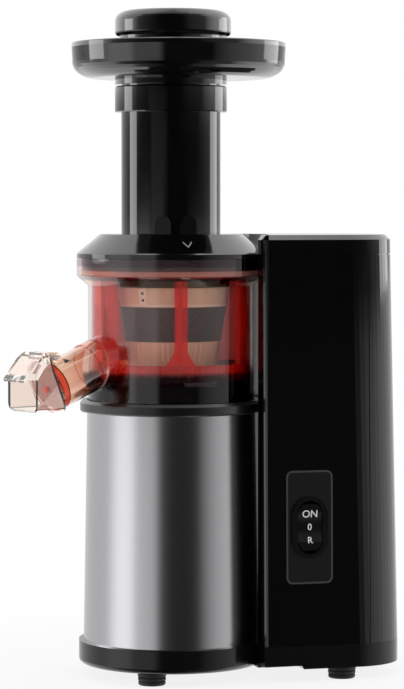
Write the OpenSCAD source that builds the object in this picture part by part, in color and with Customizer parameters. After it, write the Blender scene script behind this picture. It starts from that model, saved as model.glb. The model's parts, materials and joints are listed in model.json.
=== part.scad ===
// Cold press juicer with a steel-clad gearmotor base, a clear bowl with a
// spinning brush, a cone strainer, an auger and a tall switch column.
// Units are millimetres, +Z is up and the floor is z = 0.

/* [Base] */
// Rear end of the grip notches under the base's sides
notch_end = 68; // [60:1:80]
// Height of these notches
notch_h = 2.2; // [1:0.2:2.2]
// Rounding of the round base's lower edge
base_edge = 3; // [1:0.2:3.4]
// How far the round base stands out past the sleeve's foot
base_out = 3; // [2:0.5:8]
// Height of the base's side wall
base_h = 14.4; // [12:0.2:24]
// Gap between the floor and the base's underside
base_lift = 8; // [6.5:0.5:14]
// Wall of the base, the column and the other black housings
case_wall = 2.5; // [2:0.1:3]
// Radius of a rubber foot
foot_r = 8.8; // [7:0.2:10]
// Depth of the pocket that holds a foot
foot_pocket = 1.6; // [1:0.2:3]
// Distance of the front feet from the round base's edge
front_foot_in = 12.7; // [11:0.1:20]
// Direction of the front feet, from straight ahead
front_foot_turn = 59.5; // [50:0.5:70]
// Distance of the rear feet from the drive axis, along the machine
rear_foot_x = 98; // [85:1:105]
// Distance of the rear feet from the machine's middle plane
rear_foot_y = 45; // [32:1:46]

/* [Steel sleeve and deck] */
// Height of the steel sleeve
sleeve_h = 143.2; // [138:0.2:175]
// How much wider the sleeve is at its foot than at its top
sleeve_flare = 2.4; // [1:0.1:4]
// Thickness of the sleeve's sheet
sleeve_t = 0.8; // [0.5:0.1:1]
// How far the black ring on the sleeve stands out past the bowl's wall
deck_out = 5; // [4:0.5:7]
// Height of the black ring
deck_ring_h = 7.4; // [7:0.2:12]
// Depth of the recess that takes the bowl's skirt
deck_recess = 4.4; // [3:0.2:5]
// How far the raised hub that centres the bowl lies inside the bowl's wall
hub_in = 6; // [5:0.5:8]

/* [Column] */
// Front face of the column, from the drive axis
col_front = 44; // [40:1:48]
// Back of the column at its foot, from the drive axis
col_back = 141; // [132:0.5:150]
// How far the back leans in at the top
col_back_lean = 4.4; // [0:0.1:8]
// How far the column's sides stand out past the bowl's wall
col_out = 5; // [2:0.5:8]
// How far each side leans in at the top
col_side_lean = 4; // [0:0.5:6]
// Radius of the back corners
col_corner_r = 35; // [20:1:38]
// Radius of the front corners
col_edge_r = 5; // [4:0.5:7]
// Height of the column over the base
col_h = 253.6; // [248:0.2:275]
// Height of the column's top cap
col_cap_h = 12; // [8:0.5:18]
// Where the back cover meets the shell, from the drive axis
col_seam = 113; // [108:1:118]
// Width of the seam
seam_w = 0.5; // [0.3:0.1:1]
// Gap between the column and the bowl's rim
col_gap = 2; // [1.5:0.1:4]

/* [Switch] */
// Distance of the switch panel's centre behind the column's hollow front
panel_back = 12; // [8:1:20]
// Height of the panel's centre over the floor
panel_z = 96; // [80:1:180]
// Width of the panel
panel_w = 30; // [28:0.5:36]
// Height of the panel
panel_h = 70; // [60:1:84]
// Corner radius of the panel
panel_r = 4; // [3:0.2:6]
// Width of the bright line round the panel
trim_w = 1.1; // [0.8:0.1:1.6]
// Width of the oval bezel
bezel_w = 23; // [21:0.5:25]
// Height of the oval bezel
bezel_h = 38; // [36:0.5:44]
// Width of the rocker
rocker_w = 15.4; // [13:0.2:17]
// Height of the rocker
rocker_h = 31; // [28:0.5:32]

/* [Gearmotor] */
// Wall of the gearbox behind the roots of its ring gear
ring_rim = 6.3; // [5:0.1:8]
// Teeth of each sun gear and of each planet gear
sun_teeth = 15; // [15:3:15]
// Face width of a planet gear
planet_w = 8; // [6:0.5:9]
// Pressure angle of all gears
pressure = 25; // [22.5:0.5:27]
// Thinning of each gear tooth that leaves play in the mesh
tooth_play = 0.2; // [0.16:0.02:0.24]
// How much smaller the gearbox's radius is than the motor can's
gearbox_in = 8; // [7:0.5:8.5]
// Gap between the motor can and the screw posts round it
can_gap = 3.7; // [1:0.1:4.5]
// Length of the motor can
can_len = 62; // [62:1:68]
// Radius of the motor shaft
motor_shaft_r = 3; // [2.5:0.25:3.5]
// Radius of the output shaft where it turns in its bearing
drive_r = 6.5; // [6:0.1:7]
// Width across the flats of the output shaft's hexagon
hex_af = 11; // [9.5:0.1:11]

/* [Bowl] */
// Outer radius of the bowl's wall
bowl_r = 52; // [50:0.5:58]
// Wall of the bowl
bowl_wall = 2.2; // [1.8:0.1:2.4]
// Height of the skirt, from its foot to the top of the bowl's floor
skirt_h = 17; // [16.2:0.2:22]
// Thickness of the bowl's floor
floor_t = 2.5; // [2:0.1:3]
// Height of the wall from the floor to the flare under the rim
bowl_wall_h = 58.5; // [56:0.5:64]
// Height of the flare
flare_h = 5; // [4:0.5:7]
// How far the rim stands out past the wall
rim_out = 7; // [6.5:0.5:9]
// Height of the rim over the flare
rim_h = 11.9; // [11:0.1:15]

/* [Spouts] */
// Turn of the juice spout from straight ahead, towards the switch side
spout_turn = 21; // [10:1:32]
// Downward slope of the juice spout
spout_drop = 21; // [16:1:22]
// Outer radius of the juice spout at its mouth
spout_r = 14.8; // [14:0.1:15.2]
// Wall of the juice spout
spout_wall = 1.8; // [1.4:0.1:2.2]
// Length of the juice spout from the bowl's wall
spout_len = 38; // [34:1:44]
// Direction of the pulp spout, as an angle round the drive axis
pulp_turn = 105; // [98:1:112]
// Distance of the pulp spout's mouth from the bowl's wall
pulp_len = 28; // [22:1:36]
// Inner width of the pulp spout
pulp_w = 20; // [16:1:22]

/* [Brush and gears] */
// Depth of the brush's toothed ring behind its pitch circle
ring_back = 4.5; // [4.2:0.1:5.5]
// Teeth of the auger's gear
auger_teeth = 20; // [20:4:20]
// Teeth of an idler pinion
idler_teeth = 18; // [18:2:18]
// Height of the brush's toothed ring
ring_h = 9.8; // [9:0.2:12]
// Height of the open teeth under the ring
crown_h = 4.4; // [3:0.2:5]
// Face width of the gears in the bowl
gear_w = 6.4; // [5:0.2:6.6]
// Number of posts on the brush frame
posts = 5; // [4:1:6]
// Angle that a plain post takes
post_arc = 9; // [7:0.5:12]
// Angle that a wide post with two slits takes
wing_arc = 38; // [32:1:42]
// Radial thickness of a post
post_t = 3; // [2.4:0.1:3.4]
// Height of the brush frame's top ring
top_ring_h = 7; // [5:0.5:7.5]
// Direction of the first post, as an angle round the drive axis
post_turn = 262; // [250:1:275]

/* [Strainer and auger] */
// Outer radius of the strainer at the top
strainer_top_r = 36.5; // [35:0.5:38]
// Outer radius of the strainer at the bottom
strainer_low_r = 28.5; // [28.5:0.25:30]
// Wall of the strainer
strainer_wall = 2.2; // [1.8:0.1:2.4]
// Height of the strainer's lower band
low_band_h = 15; // [13:0.5:16]
// Height of the mesh band
mesh_h = 21.6; // [18:0.2:23]
// Height of the strainer's upper band
top_band_h = 12; // [9:0.5:13]
// Number of ribs in the mesh band
strainer_ribs = 12; // [8:1:14]
// Core radius of the auger at the bottom
auger_core_r = 14.5; // [13.5:0.5:15.5]
// Height of the auger's flights
flight_h = 46; // [42:1:47]
// Height of the auger's cutting nose
nose_h = 20; // [14:1:24]

/* [Lid and feed chute] */
// Height of the lid's edge over the bowl
lid_edge_h = 3.7; // [3:0.1:5]
// Height of the lid's cone
lid_cone_h = 11.3; // [10:0.1:18]
// Radius of the cone at the top
lid_top_r = 44.5; // [40:0.5:50]
// Wall of the lid and the chute
lid_wall = 2.6; // [2.2:0.1:3]
// Outer radius of the feed chute
chute_r = 31; // [30:0.1:32]
// Height of the chute from the cone to its collar
chute_h = 75.7; // [60:0.1:90]
// Outer radius of the chute's collar
collar_r = 35; // [34.4:0.1:37]
// Height of the collar
collar_h = 16.2; // [10:0.1:20]
// Depth of the tray's spigot in the chute
spigot_h = 12; // [8:0.5:12]

/* [Tray and pusher] */
// Outer radius of the food tray
tray_r = 67; // [62:0.5:74]
// How far the tray's dish is set back towards the column
tray_shift = 5; // [0:0.5:8]
// Height of the dish from its underside to its rim
tray_h = 22.1; // [18:0.1:30]
// Width of the curve from the dish's floor to its wall
tray_curve = 14; // [8:0.5:16]
// Height of that curve
tray_curve_h = 10; // [7:0.5:14]
// Height of the flange under the dish
flange_h = 4; // [3:0.1:7]
// Height of the gap between the collar and the flange
flange_gap = 1; // [1:0.1:2.5]
// Radius of the pusher's cap
cap_r = 36.3; // [35:0.1:40]
// Height of the pusher's cap
cap_h = 16; // [12:0.2:26]
// How far the cap's grip is set back towards the column
cap_shift = 1.4; // [0:0.1:2]
// Height of the gap between the tray's rim and the cap
cap_gap = 4; // [2:0.1:8]
// How far the pusher reaches down past the chute's foot
pusher_reach = -1; // [-20:1:0]

/* [Clearances] */
// Gap between pieces that rest on each other and lift apart
rest_gap = 0.3; // [0.25:0.05:0.4]
// Radial play of a pin or shaft in its bore
run_gap = 0.05; // [0.03:0.01:0.08]
// Radial play of the pusher in the chute
slide_gap = 0.6; // [0.4:0.1:1]

/* [Hidden] */

$fn = 96;
thin = 0.01;
over = 1;

// ---- heights of the stack ----
z_base = base_lift;
base_floor = 2.5;
z_base_floor = z_base + base_floor;
z_sleeve = z_base + base_h;
z_ring = z_sleeve + sleeve_h;
z_deck = z_ring + deck_ring_h;
z_recess = z_deck - deck_recess;
z_bowl = z_recess + rest_gap;
z_floor = z_bowl + skirt_h;
z_flare = z_floor + bowl_wall_h;
z_rim = z_flare + flare_h;
z_ledge = z_rim + 1;
z_lid = z_rim + rim_h;
z_cone = z_lid + lid_edge_h;
z_lid_top = z_cone + lid_cone_h;
z_collar = z_lid_top + chute_h;
z_chute = z_collar + collar_h;
z_flange = z_chute + flange_gap;
z_dish = z_flange + flange_h;
z_dish_rim = z_dish + tray_h;
z_cap = z_dish_rim + cap_gap;
z_top = z_cap + cap_h;

// ---- radii that follow from the bowl's ----
rim_r = bowl_r + rim_out;
deck_r = bowl_r + deck_out;
hub_r = bowl_r - hub_in;
sleeve_top_r = bowl_r + 0.6;
sleeve_low_r = sleeve_top_r + sleeve_flare;
base_r = sleeve_low_r + base_out;
chassis_r = sleeve_top_r - sleeve_t - 0.5;
chassis_wall = 2.2;
post_r = 4.2;
post_dist = chassis_r - chassis_wall - post_r + 1;
can_r = post_dist - post_r - can_gap;
gearbox_r = can_r - gearbox_in;
pulp_reach = bowl_r + pulp_len;
ring_teeth = auger_teeth + 2 * idler_teeth;
brush_r = bowl_r - bowl_wall - 0.5;
brush_mod = 2 * (brush_r - ring_back) / ring_teeth;

// ---- heights of the column and of the drive line ----
z_col_top = z_sleeve + col_h;
z_seam = z_col_top - col_cap_h;
z_hub = z_floor - floor_t - 3;
hub_plate = 3;
cover_h = 4;
z_cover = z_ring - 19.6;
gb_floor = 3;
plate_h = 3;
axial_gap = 0.8;
pin_r = 2.5;
z_housing = z_cover - gb_floor - 2 * planet_w - 2 * plate_h - 2 * axial_gap - 5.4;
z_low_planet = z_housing + gb_floor + 1.5;
z_low_plate = z_low_planet + planet_w + axial_gap;
z_top_planet = z_low_plate + plate_h + 1;
z_top_plate = z_top_planet + planet_w + axial_gap;
z_can = z_housing - can_len;
z_shaft_neck = z_floor + 3.2;
z_shaft_top = z_floor + 21.5;

// ---- lean of the column's sides and back with height ----
col_concave_r = rim_r + col_gap;
col_half = bowl_r + col_out;
side_tilt = atan(col_side_lean / col_h);
function lean(z) = (z - z_sleeve) / col_h;
function half_at(z) = col_half - col_side_lean * lean(z);
function back_at(z) = col_back - col_back_lean * lean(z);

// ---- gear geometry ----
addendum = 0.9;
dedendum = 1.2;
annulus_teeth = 3 * sun_teeth;
planet_mod = (gearbox_r - ring_rim) / (annulus_teeth / 2 + dedendum);
planet_dist = planet_mod * sun_teeth;
idler_turn = pulp_turn - 90;
idler_dist = brush_mod * (auger_teeth + idler_teeth) / 2;

// Polar angle of an involute at radius r, from its start on the base circle
function involute(base, r) = let (a = acos(min(1, base / r))) tan(a) * 180 / PI - a;
// Half angle of a tooth at radius r
function half_tooth(m, z, r, play) =
    let (pitch_r = m * z / 2, base = pitch_r * cos(pressure))
    (90 - play / m * 180 / PI) / z + involute(base, pitch_r) - involute(base, max(r, base));
function polar(r, a) = [r * cos(a), r * sin(a)];
// Outline of a gear with a tooth centred on +X, between its root and tip radii
function gear_points(m, z, root, tip, play, steps = 3) =
    let (base = m * z / 2 * cos(pressure), start = max(root, base), foot = root < base)
    [for (t = [0:z - 1], s = [-1, 1], i = [0:steps + (foot ? 1 : 0)])
        let (n = s < 0 ? i : steps + (foot ? 1 : 0) - i,
             k = foot ? n - 1 : n,
             r = k < 0 ? root : start + (tip - start) * k / steps)
        polar(r, 360 * t / z + s * half_tooth(m, z, r, play))];
// Turn that meshes a gear of z2 teeth, standing at angle a, with a sun of z1 teeth at 0
function mesh_turn(z1, z2, a) = a + 180 + z1 / z2 * a - 180 / z2;
// Turn of the ring gear of z3 teeth round a planet at angle 0
function ring_turn(z1, z2, z3) = z2 / z3 * mesh_turn(z1, z2, 0);

module outer_gear(m, z) {
    polygon(gear_points(m, z, m * (z / 2 - dedendum), m * (z / 2 + addendum), tooth_play));
}

// The space inside a ring gear, as a gear of air that is grown by the play
module ring_space(m, z) {
    polygon(gear_points(m, z, m * (z / 2 - addendum), m * (z / 2 + dedendum), -tooth_play));
}

// ---- brush, strainer and auger ----
z_brush = z_floor + rest_gap;
z_ring_top = z_brush + ring_h;
z_brush_top = z_lid - 5.7;
z_gear = z_floor + 0.8 + rest_gap;
z_strainer = z_ring_top - 1.2;
strainer_plate = 2.2;
strainer_h = low_band_h + mesh_h + top_band_h;
z_strainer_top = z_strainer + strainer_h;
function strainer_r(z) = strainer_low_r
    + (strainer_top_r - strainer_low_r) * (z - z_strainer) / strainer_h;
collar_in_r = 8.2;
collar_out_r = 10;
z_collar_top = z_floor + 8;
auger_bore_r = collar_out_r + 0.4;
socket_r = collar_out_r;
auger_hub_r = auger_bore_r + 2.2;
z_auger = z_strainer + strainer_plate + 0.6;
z_nose = z_auger + flight_h;
idler_pin_r = 3;

// ---- pulp way ----
port_low_r = brush_mod * (auger_teeth / 2 + addendum) + 2;
port_high_r = strainer_low_r - strainer_wall - 0.3;
port_wall = 1.2;
port_arc = 33;
pulp_low = z_deck + 0.4;
pulp_wall = 1.5;
pulp_high = z_floor - floor_t;
pulp_half = pulp_w / 2 + pulp_wall;
flap_t = 2;
flap_pin_r = 1;
flap_knuckle_r = 2.2;
flap_knuckle_w = 12;
flap_ear_half = flap_knuckle_w / 2 + 3.5;
flap_s = pulp_reach + rest_gap + flap_t / 2;
flap_z = z_floor + flap_knuckle_r + 0.5;

// ---- juice spout and its cap ----
bore_r = spout_r - spout_wall;
spout_z = z_floor + bore_r / cos(spout_drop) - 1.2;
mouth = [bowl_r + spout_len * cos(spout_drop), spout_z - spout_len * sin(spout_drop)];
// Point at a distance along the spout's axis past its mouth, and above the axis
function past_mouth(along, up) = mouth
    + [along * cos(spout_drop) + up * sin(spout_drop), up * cos(spout_drop) - along * sin(spout_drop)];
hinge = past_mouth(0, spout_r + 3.7);
hinge_pin_r = 1.5;
knuckle_r = 3.2;
knuckle_w = 14;
ear_w = 3.6;
plug_t = 4.5;
cap_plate = 2;
hood_half = spout_r + 0.7;
hood_wall = 1.6;
hood_s = hinge[0] + 17.5;
hood_low = mouth[1] - spout_r - 1;
hood_top = hinge[1] + knuckle_r;
lever_s = hinge[0] + 24;
lever_half = 11;
lever_low = hinge[1] - 14.3;

// ---- the machine stands with its box centred on the origin ----
x_low = -max(lever_s * cos(spout_turn) + lever_half * sin(spout_turn), tray_r - tray_shift);
y_high = max(tray_r, (flap_s + flap_knuckle_r) * sin(pulp_turn) + flap_ear_half * abs(cos(pulp_turn)));
centre = [(x_low + col_back) / 2, (y_high - tray_r) / 2];

module placed() {
    translate([-centre[0], -centre[1], 0]) children();
}

module tube(outer, inner, height) {
    difference() {
        cylinder(r = outer, h = height);
        translate([0, 0, -over]) cylinder(r = inner, h = height + 2 * over);
    }
}

module ring_of(count, radius, start = 0) {
    for (i = [0:count - 1]) rotate([0, 0, start + 360 * i / count])
        translate([radius, 0, 0]) children();
}

module at_points(points, z) {
    for (p = points) translate([p[0], p[1], z]) children();
}

// A block between two radii, centred on an angle
module arc_block(inner, outer, middle, span, h) {
    rotate([0, 0, middle - span / 2]) rotate_extrude(angle = span)
        translate([inner, 0]) square([outer - inner, h]);
}

module rounded_box(w, h, r, depth) {
    linear_extrude(depth) {
        square([w - 2 * r, h], center = true);
        square([w, h - 2 * r], center = true);
        for (x = [-1, 1], y = [-1, 1]) translate([x * (w / 2 - r), y * (h / 2 - r)]) circle(r);
    }
}

// An upright oval with half-round ends
module oval(w, h, depth) {
    linear_extrude(depth) {
        square([w, h - w], center = true);
        for (y = [-1, 1]) translate([0, y * (h - w) / 2]) circle(w / 2);
    }
}

// Points of a quarter oval, w wide and h high, for rounded profiles
function oval_arc(centre, w, h, from, to, steps = 8) =
    [for (i = [0:steps]) let (p = polar(1, from + (to - from) * i / steps)) centre + [w * p[0], h * p[1]]];

// ---- base ----
screw_r = 1.6;
head_r = 3.2;
head_h = 2.2;
screw_rise = 5;
foot_spots = concat([for (s = [-1, 1]) polar(base_r - front_foot_in, 180 + s * front_foot_turn)],
    [for (s = [-1, 1]) [rear_foot_x, s * rear_foot_y]]);
chassis_spots = [for (a = [35, 145, 215, 325]) polar(post_dist, a)];
shell_post_y = col_half - case_wall - post_r + 0.8;
shell_spots = [[col_front + 12, -shell_post_y], [col_front + 12, shell_post_y]];
cover_spots = [[col_seam + 6, -26], [col_seam + 6, 26]];
screw_spots = concat(chassis_spots, shell_spots, cover_spots);

board = [56, 1.6, 84];
board_spot = [(col_concave_r + case_wall + 6), 4, z_base_floor + 2];

// The base's outline under the column, drawn in by inset
module column_foot(inset) {
    translate([col_front + inset, -col_half + inset])
        square([col_back - col_corner_r - col_front - inset, 2 * (col_half - inset)]);
    translate([col_front + inset, -col_half + col_corner_r])
        square([col_back - col_front - 2 * inset, 2 * (col_half - col_corner_r)]);
    for (s = [-1, 1]) translate([col_back - col_corner_r, s * (col_half - col_corner_r)])
        circle(col_corner_r - inset);
}

// The whole base as a block; the round part's lower edge is rounded
module base_block() {
    rotate_extrude() polygon(concat([[0, z_base]],
        oval_arc([base_r - base_edge, z_base + base_edge], base_edge, base_edge, -90, 0, 5),
        [[base_r, z_sleeve], [0, z_sleeve]]));
    translate([0, 0, z_base]) linear_extrude(base_h) column_foot(0);
}

module base_tray() {
    color("black") difference() {
        union() {
            difference() {
                base_block();
                translate([0, 0, z_base_floor]) linear_extrude(base_h) {
                    circle(base_r - case_wall);
                    column_foot(case_wall);
                }
            }
            intersection() {
                base_block();
                union() {
                    // broad rim under the sleeve and the column's hollow front
                    translate([0, 0, z_base])
                        tube(col_concave_r + case_wall, chassis_r - chassis_wall, base_h);
                    at_points(screw_spots, z_base) cylinder(r = post_r + 0.6, h = base_h);
                    // floor over the grip notches
                    for (s = [-1, 1]) translate([col_front, s * (col_half - 9) - 9, z_base])
                        cube([notch_end - col_front + 5, 18, notch_h + base_floor]);
                }
            }
            // ring that centres the sleeve
            translate([0, 0, z_sleeve - over])
                tube(sleeve_low_r - sleeve_t - 0.25, chassis_r + 0.1, 6);
            // slotted posts that hold the circuit board on edge
            for (x = [0, board[0]]) translate([board_spot[0] + x - 4, board_spot[1] - 3, z_base])
                cube([8, board[1] + 6, base_h + 6]);
        }
        // grip notches in the lower edge, behind the round base
        for (s = [-1, 1]) translate([0, s * col_half, z_base])
            rotate([90, 0, 0]) linear_extrude(28, center = true) polygon([
                [col_front - over, -over], [notch_end + notch_h, -over], [notch_end, notch_h],
                [col_front - over, notch_h]
            ]);
        at_points(foot_spots, z_base - over) cylinder(r = foot_r - 1.2, h = foot_pocket + over);
        at_points(screw_spots, z_base - over) {
            cylinder(r = screw_r + 0.3, h = base_h + 2 * over);
            cylinder(r = head_r + 0.4, h = over + screw_rise);
        }
        translate(board_spot) cube([board[0], board[1], base_h + 8]);
        // cooling slots under the motor
        for (a = [0:30:330]) rotate([0, 0, a]) translate([14, -1.5, z_base - over])
            cube([16, 3, base_floor + 2 * over]);
        // way for the wires from the column to the motor
        translate([chassis_r - chassis_wall - 4, -9, z_base_floor]) cube([22, 18, base_h - base_floor - 4]);
    }
}

module feet() {
    color("dimgray") at_points(foot_spots, 0) rotate_extrude() polygon([
        [0, 0], [foot_r - 1, 0], [foot_r - 0.4, 0.6], [foot_r - 0.4, 2], [foot_r - 1, 2.5],
        [foot_r - 0.2, 3], [foot_r - 0.2, 4.4], [foot_r - 0.8, 4.9], [foot_r, 5.4],
        [foot_r, z_base], [foot_r - 1.4, z_base], [foot_r - 1.4, z_base + foot_pocket],
        [0, z_base + foot_pocket]
    ]);
}

// A socket-head screw whose head hangs under its shank
module screw(length) {
    translate([0, 0, -thin]) cylinder(r = screw_r, h = length + thin);
    translate([0, 0, -head_h]) difference() {
        cylinder(r = head_r, h = head_h);
        translate([0, 0, -over]) cylinder(r = 1.4, h = over + 1.2, $fn = 6);
    }
}

ear_dist = gearbox_r + 5;
flange_dist = can_r - 3.2;
module housing_screws() {
    color("silver") {
        at_points(screw_spots, z_base + screw_rise) screw(base_h + 5);
        ring_of(4, ear_dist, 45) translate([0, 0, z_cover - cover_h]) screw(2 * cover_h + 12);
        ring_of(4, flange_dist) translate([0, 0, z_housing + cover_h]) mirror([0, 0, 1])
            screw(cover_h + 3);
    }
}

// Plastic tube inside the sleeve, with cooling windows and screw posts
module chassis() {
    height = z_ring - 4 - z_sleeve;
    color("dimgray") translate([0, 0, z_sleeve]) difference() {
        union() {
            tube(chassis_r, chassis_r - chassis_wall, height);
            at_points(chassis_spots, 0) cylinder(r = post_r, h = height - 8);
        }
        at_points(chassis_spots, -over) cylinder(r = screw_r, h = 24);
        for (a = [0:90:270], k = [0:3]) rotate([0, 0, a])
            translate([chassis_r - 6, -14, 14 + k * 14]) cube([12, 28, 7]);
    }
}

module steel_sleeve() {
    color("lightgray") rotate_extrude() polygon([
        [sleeve_low_r, z_sleeve], [sleeve_top_r, z_ring],
        [sleeve_top_r - sleeve_t, z_ring], [sleeve_low_r - sleeve_t, z_sleeve]
    ]);
}

// ---- deck that carries the bowl ----
seal_r = 11;
sensor_r = 1.8;
sensor_x = hub_r - 12;
z_guide = z_hub - 9;
z_sensor_switch = z_hub - 17;
boss_low = z_cover + cover_h;
hub_wall = 2.5;
pocket_half = pulp_half + 1;
skirt_r = chassis_r - chassis_wall - 0.2;

// Block along the pulp spout under the bowl, grown on its sides and floor
module pulp_pocket(grow, reach) {
    rotate([0, 0, pulp_turn])
        translate([port_low_r - 3 - grow, -pocket_half - grow, z_deck - grow])
            cube([reach - port_low_r + 3 + grow, 2 * (pocket_half + grow), z_hub - z_deck + 2 * grow]);
}

module top_deck() {
    color("black") difference() {
        union() {
            rotate_extrude() polygon([
                [skirt_r - 2.2, z_ring - 10], [skirt_r, z_ring - 10], [skirt_r, z_ring - 4],
                [chassis_r + 0.1, z_ring - 4], [chassis_r + 0.1, z_ring], [deck_r - 0.8, z_ring],
                [deck_r, z_ring + 0.8], [deck_r, z_deck - 1.8], [deck_r - 1.4, z_deck],
                [bowl_r + 0.7, z_deck], [bowl_r + 0.7, z_recess], [hub_r, z_recess],
                [hub_r - 1, z_hub - 1.5], [hub_r - 2.5, z_hub], [0, z_hub], [0, z_hub - hub_plate],
                [hub_r - hub_wall - 1, z_hub - hub_plate], [hub_r - hub_wall, z_recess - 2.2],
                [skirt_r - 2.2, z_recess - 2.2]
            ]);
            translate([0, 0, z_hub - 8]) cylinder(r = seal_r + 2.5, h = 6);
            ring_of(4, ear_dist, 45) translate([0, 0, boss_low])
                cylinder(r = post_r, h = z_hub - 1 - boss_low);
            // floor and walls of the pocket that clears the pulp spout
            intersection() {
                pulp_pocket(2, hub_r);
                cylinder(r = hub_r - 1, h = z_hub - 1);
            }
            // guide of the bowl sensor and the arm that carries its switch
            translate([sensor_x, 0, z_guide]) cylinder(r = 4, h = z_hub - 1 - z_guide);
            translate([sensor_x - 6, -9, z_sensor_switch]) cube([12, 2, z_hub - 1 - z_sensor_switch]);
        }
        translate([0, 0, z_hub - 9]) cylinder(r = seal_r, h = 12);
        translate([sensor_x, 0, z_guide - over]) cylinder(r = sensor_r + run_gap, h = 12);
        pulp_pocket(0, hub_r + 4);
        ring_of(4, ear_dist, 45) translate([0, 0, boss_low - over]) cylinder(r = screw_r, h = 15);
    }
}

module shaft_seal() {
    lip = drive_r + run_gap;
    color("firebrick") rotate_extrude() polygon([
        [lip, z_hub - 8], [seal_r, z_hub - 8], [seal_r, z_hub], [seal_r - 1.5, z_hub + 0.8],
        [drive_r + 1.6, z_hub + 1.6], [lip, z_hub + 1.6], [lip, z_hub - 1],
        [drive_r + 1.4, z_hub - 2], [drive_r + 1.4, z_hub - 4], [lip, z_hub - 5]
    ]);
}

// ---- column ----
// The column between two heights, drawn in by inset, its top edge rounded by ease
module column_block(z0, z1, inset = 0, ease = 0) {
    hull() for (lv = [[z0, 0], [z1 - ease, 0], [z1, ease]])
        translate([0, 0, min(lv[0], z1 - thin)]) linear_extrude(thin)
            for (s = [-1, 1]) {
                translate([back_at(lv[0]) - col_corner_r, s * (half_at(lv[0]) - col_corner_r)])
                    circle(col_corner_r - inset - lv[1], $fn = 64);
                translate([col_front + col_edge_r, s * (half_at(lv[0]) - col_edge_r)])
                    circle(col_edge_r - inset - lv[1], $fn = 24);
            }
}

module column_front_cut(grow = 0) {
    translate([0, 0, z_sleeve - 2 * over]) cylinder(r = col_concave_r + grow, h = col_h + 4 * over);
}

// Side walls, back and hollow front, from one height to another
module column_walls(z0, z1) {
    difference() {
        column_block(z0, z1);
        difference() {
            column_block(z0 - over, z1 + over, case_wall);
            column_front_cut(case_wall);
        }
        column_front_cut();
    }
}

module panel_frame() {
    translate([col_concave_r + panel_back, -half_at(panel_z), panel_z])
        rotate([90 - side_tilt, 0, 0]) children();
}

insert_r = panel_r - 1.6;
insert_w = panel_w - 3.2;
insert_h = panel_h - 3.2;
shell_post_h = 30;
module column_shell() {
    color("black") difference() {
        union() {
            intersection() {
                column_walls(z_sleeve, z_seam - seam_w);
                translate([0, -col_half - over, z_sleeve])
                    cube([col_seam - seam_w / 2, 2 * (col_half + over), col_h]);
            }
            intersection() {
                at_points(shell_spots, z_sleeve) cylinder(r = post_r, h = shell_post_h);
                translate([0, -half_at(z_sleeve + shell_post_h) + 1, 0])
                    cube([col_seam, 2 * half_at(z_sleeve + shell_post_h) - 2, z_seam]);
            }
        }
        at_points(shell_spots, z_sleeve - over) cylinder(r = screw_r, h = 24);
        panel_frame() translate([0, 0, -8]) rounded_box(insert_w, insert_h, insert_r, 16);
    }
}

gland_z = 38;
gland_bore_r = 3.6;
gland_r = 6.5;
gland_x = back_at(gland_z) - 1.2;
module column_back_cover() {
    color("black") difference() {
        union() {
            intersection() {
                column_walls(z_sleeve, z_seam - seam_w);
                translate([col_seam + seam_w / 2, -col_half - over, z_sleeve])
                    cube([col_back, 2 * (col_half + over), col_h]);
            }
            at_points(cover_spots, z_sleeve) {
                cylinder(r = post_r, h = 24);
                translate([0, -1, 0]) cube([back_at(z_sleeve + 24) - 1 - cover_spots[0][0], 2, 24]);
            }
        }
        at_points(cover_spots, z_sleeve - over) cylinder(r = screw_r, h = 20);
        translate([gland_x - 8, 0, gland_z]) rotate([0, 90, 0]) cylinder(r = gland_r, h = 20);
        translate([gland_x, 0, gland_z]) rotate([0, 90, 0]) cylinder(r = gland_r + 3.3, h = 20);
        // louvres that let the air out
        for (k = [0:6]) translate([col_back - 14, -20, z_sleeve + 42 + 9 * k])
            rotate([0, 20, 0]) cube([24, 40, 3]);
    }
}

module column_top_cap() {
    color("black") difference() {
        union() {
            column_block(z_seam, z_col_top, 0, 3);
            // inner edge that stands on the shell and leaves the seam open outside
            difference() {
                column_block(z_seam - seam_w, z_seam + 0.5, 0.9);
                column_front_cut(0.9);
            }
        }
        difference() {
            column_block(z_seam - seam_w - over, z_col_top - case_wall, case_wall);
            column_front_cut(case_wall);
        }
        column_front_cut();
    }
}

module cord_gland() {
    color("dimgray") translate([gland_x, 0, gland_z]) rotate([0, 90, 0]) rotate_extrude() polygon([
        [gland_bore_r, -7], [gland_r + 1.6, -7], [gland_r + 1.6, -2], [gland_r, -1.8], [gland_r, 0],
        [gland_r + 3, 0], [gland_r + 3, 0.6], [gland_r + 1.6, 1.1], [gland_bore_r, 1.1]
    ]);
}

// ---- switch ----
rocker_gap = 0.35;
rocker_end_gap = 1;
rocker_pivot = 4.5;
rocker_back = rocker_pivot + 3;
pivot_pin_r = 1.2;

module switch_panel() {
    color("black") panel_frame() difference() {
        union() {
            translate([0, 0, -case_wall]) rounded_box(insert_w, insert_h, insert_r, case_wall + 0.3);
            rounded_box(panel_w - 2 * trim_w, panel_h - 2 * trim_w, panel_r - trim_w, 0.5);
        }
        translate([0, 0, -8]) oval(bezel_w - 2.4, bezel_h - 2.4, 16);
    }
}

module switch_trim() {
    color("silver") panel_frame() difference() {
        rounded_box(panel_w, panel_h, panel_r, 0.7);
        translate([0, 0, -over])
            rounded_box(panel_w - 2 * trim_w, panel_h - 2 * trim_w, panel_r - trim_w, 4);
    }
}

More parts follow.
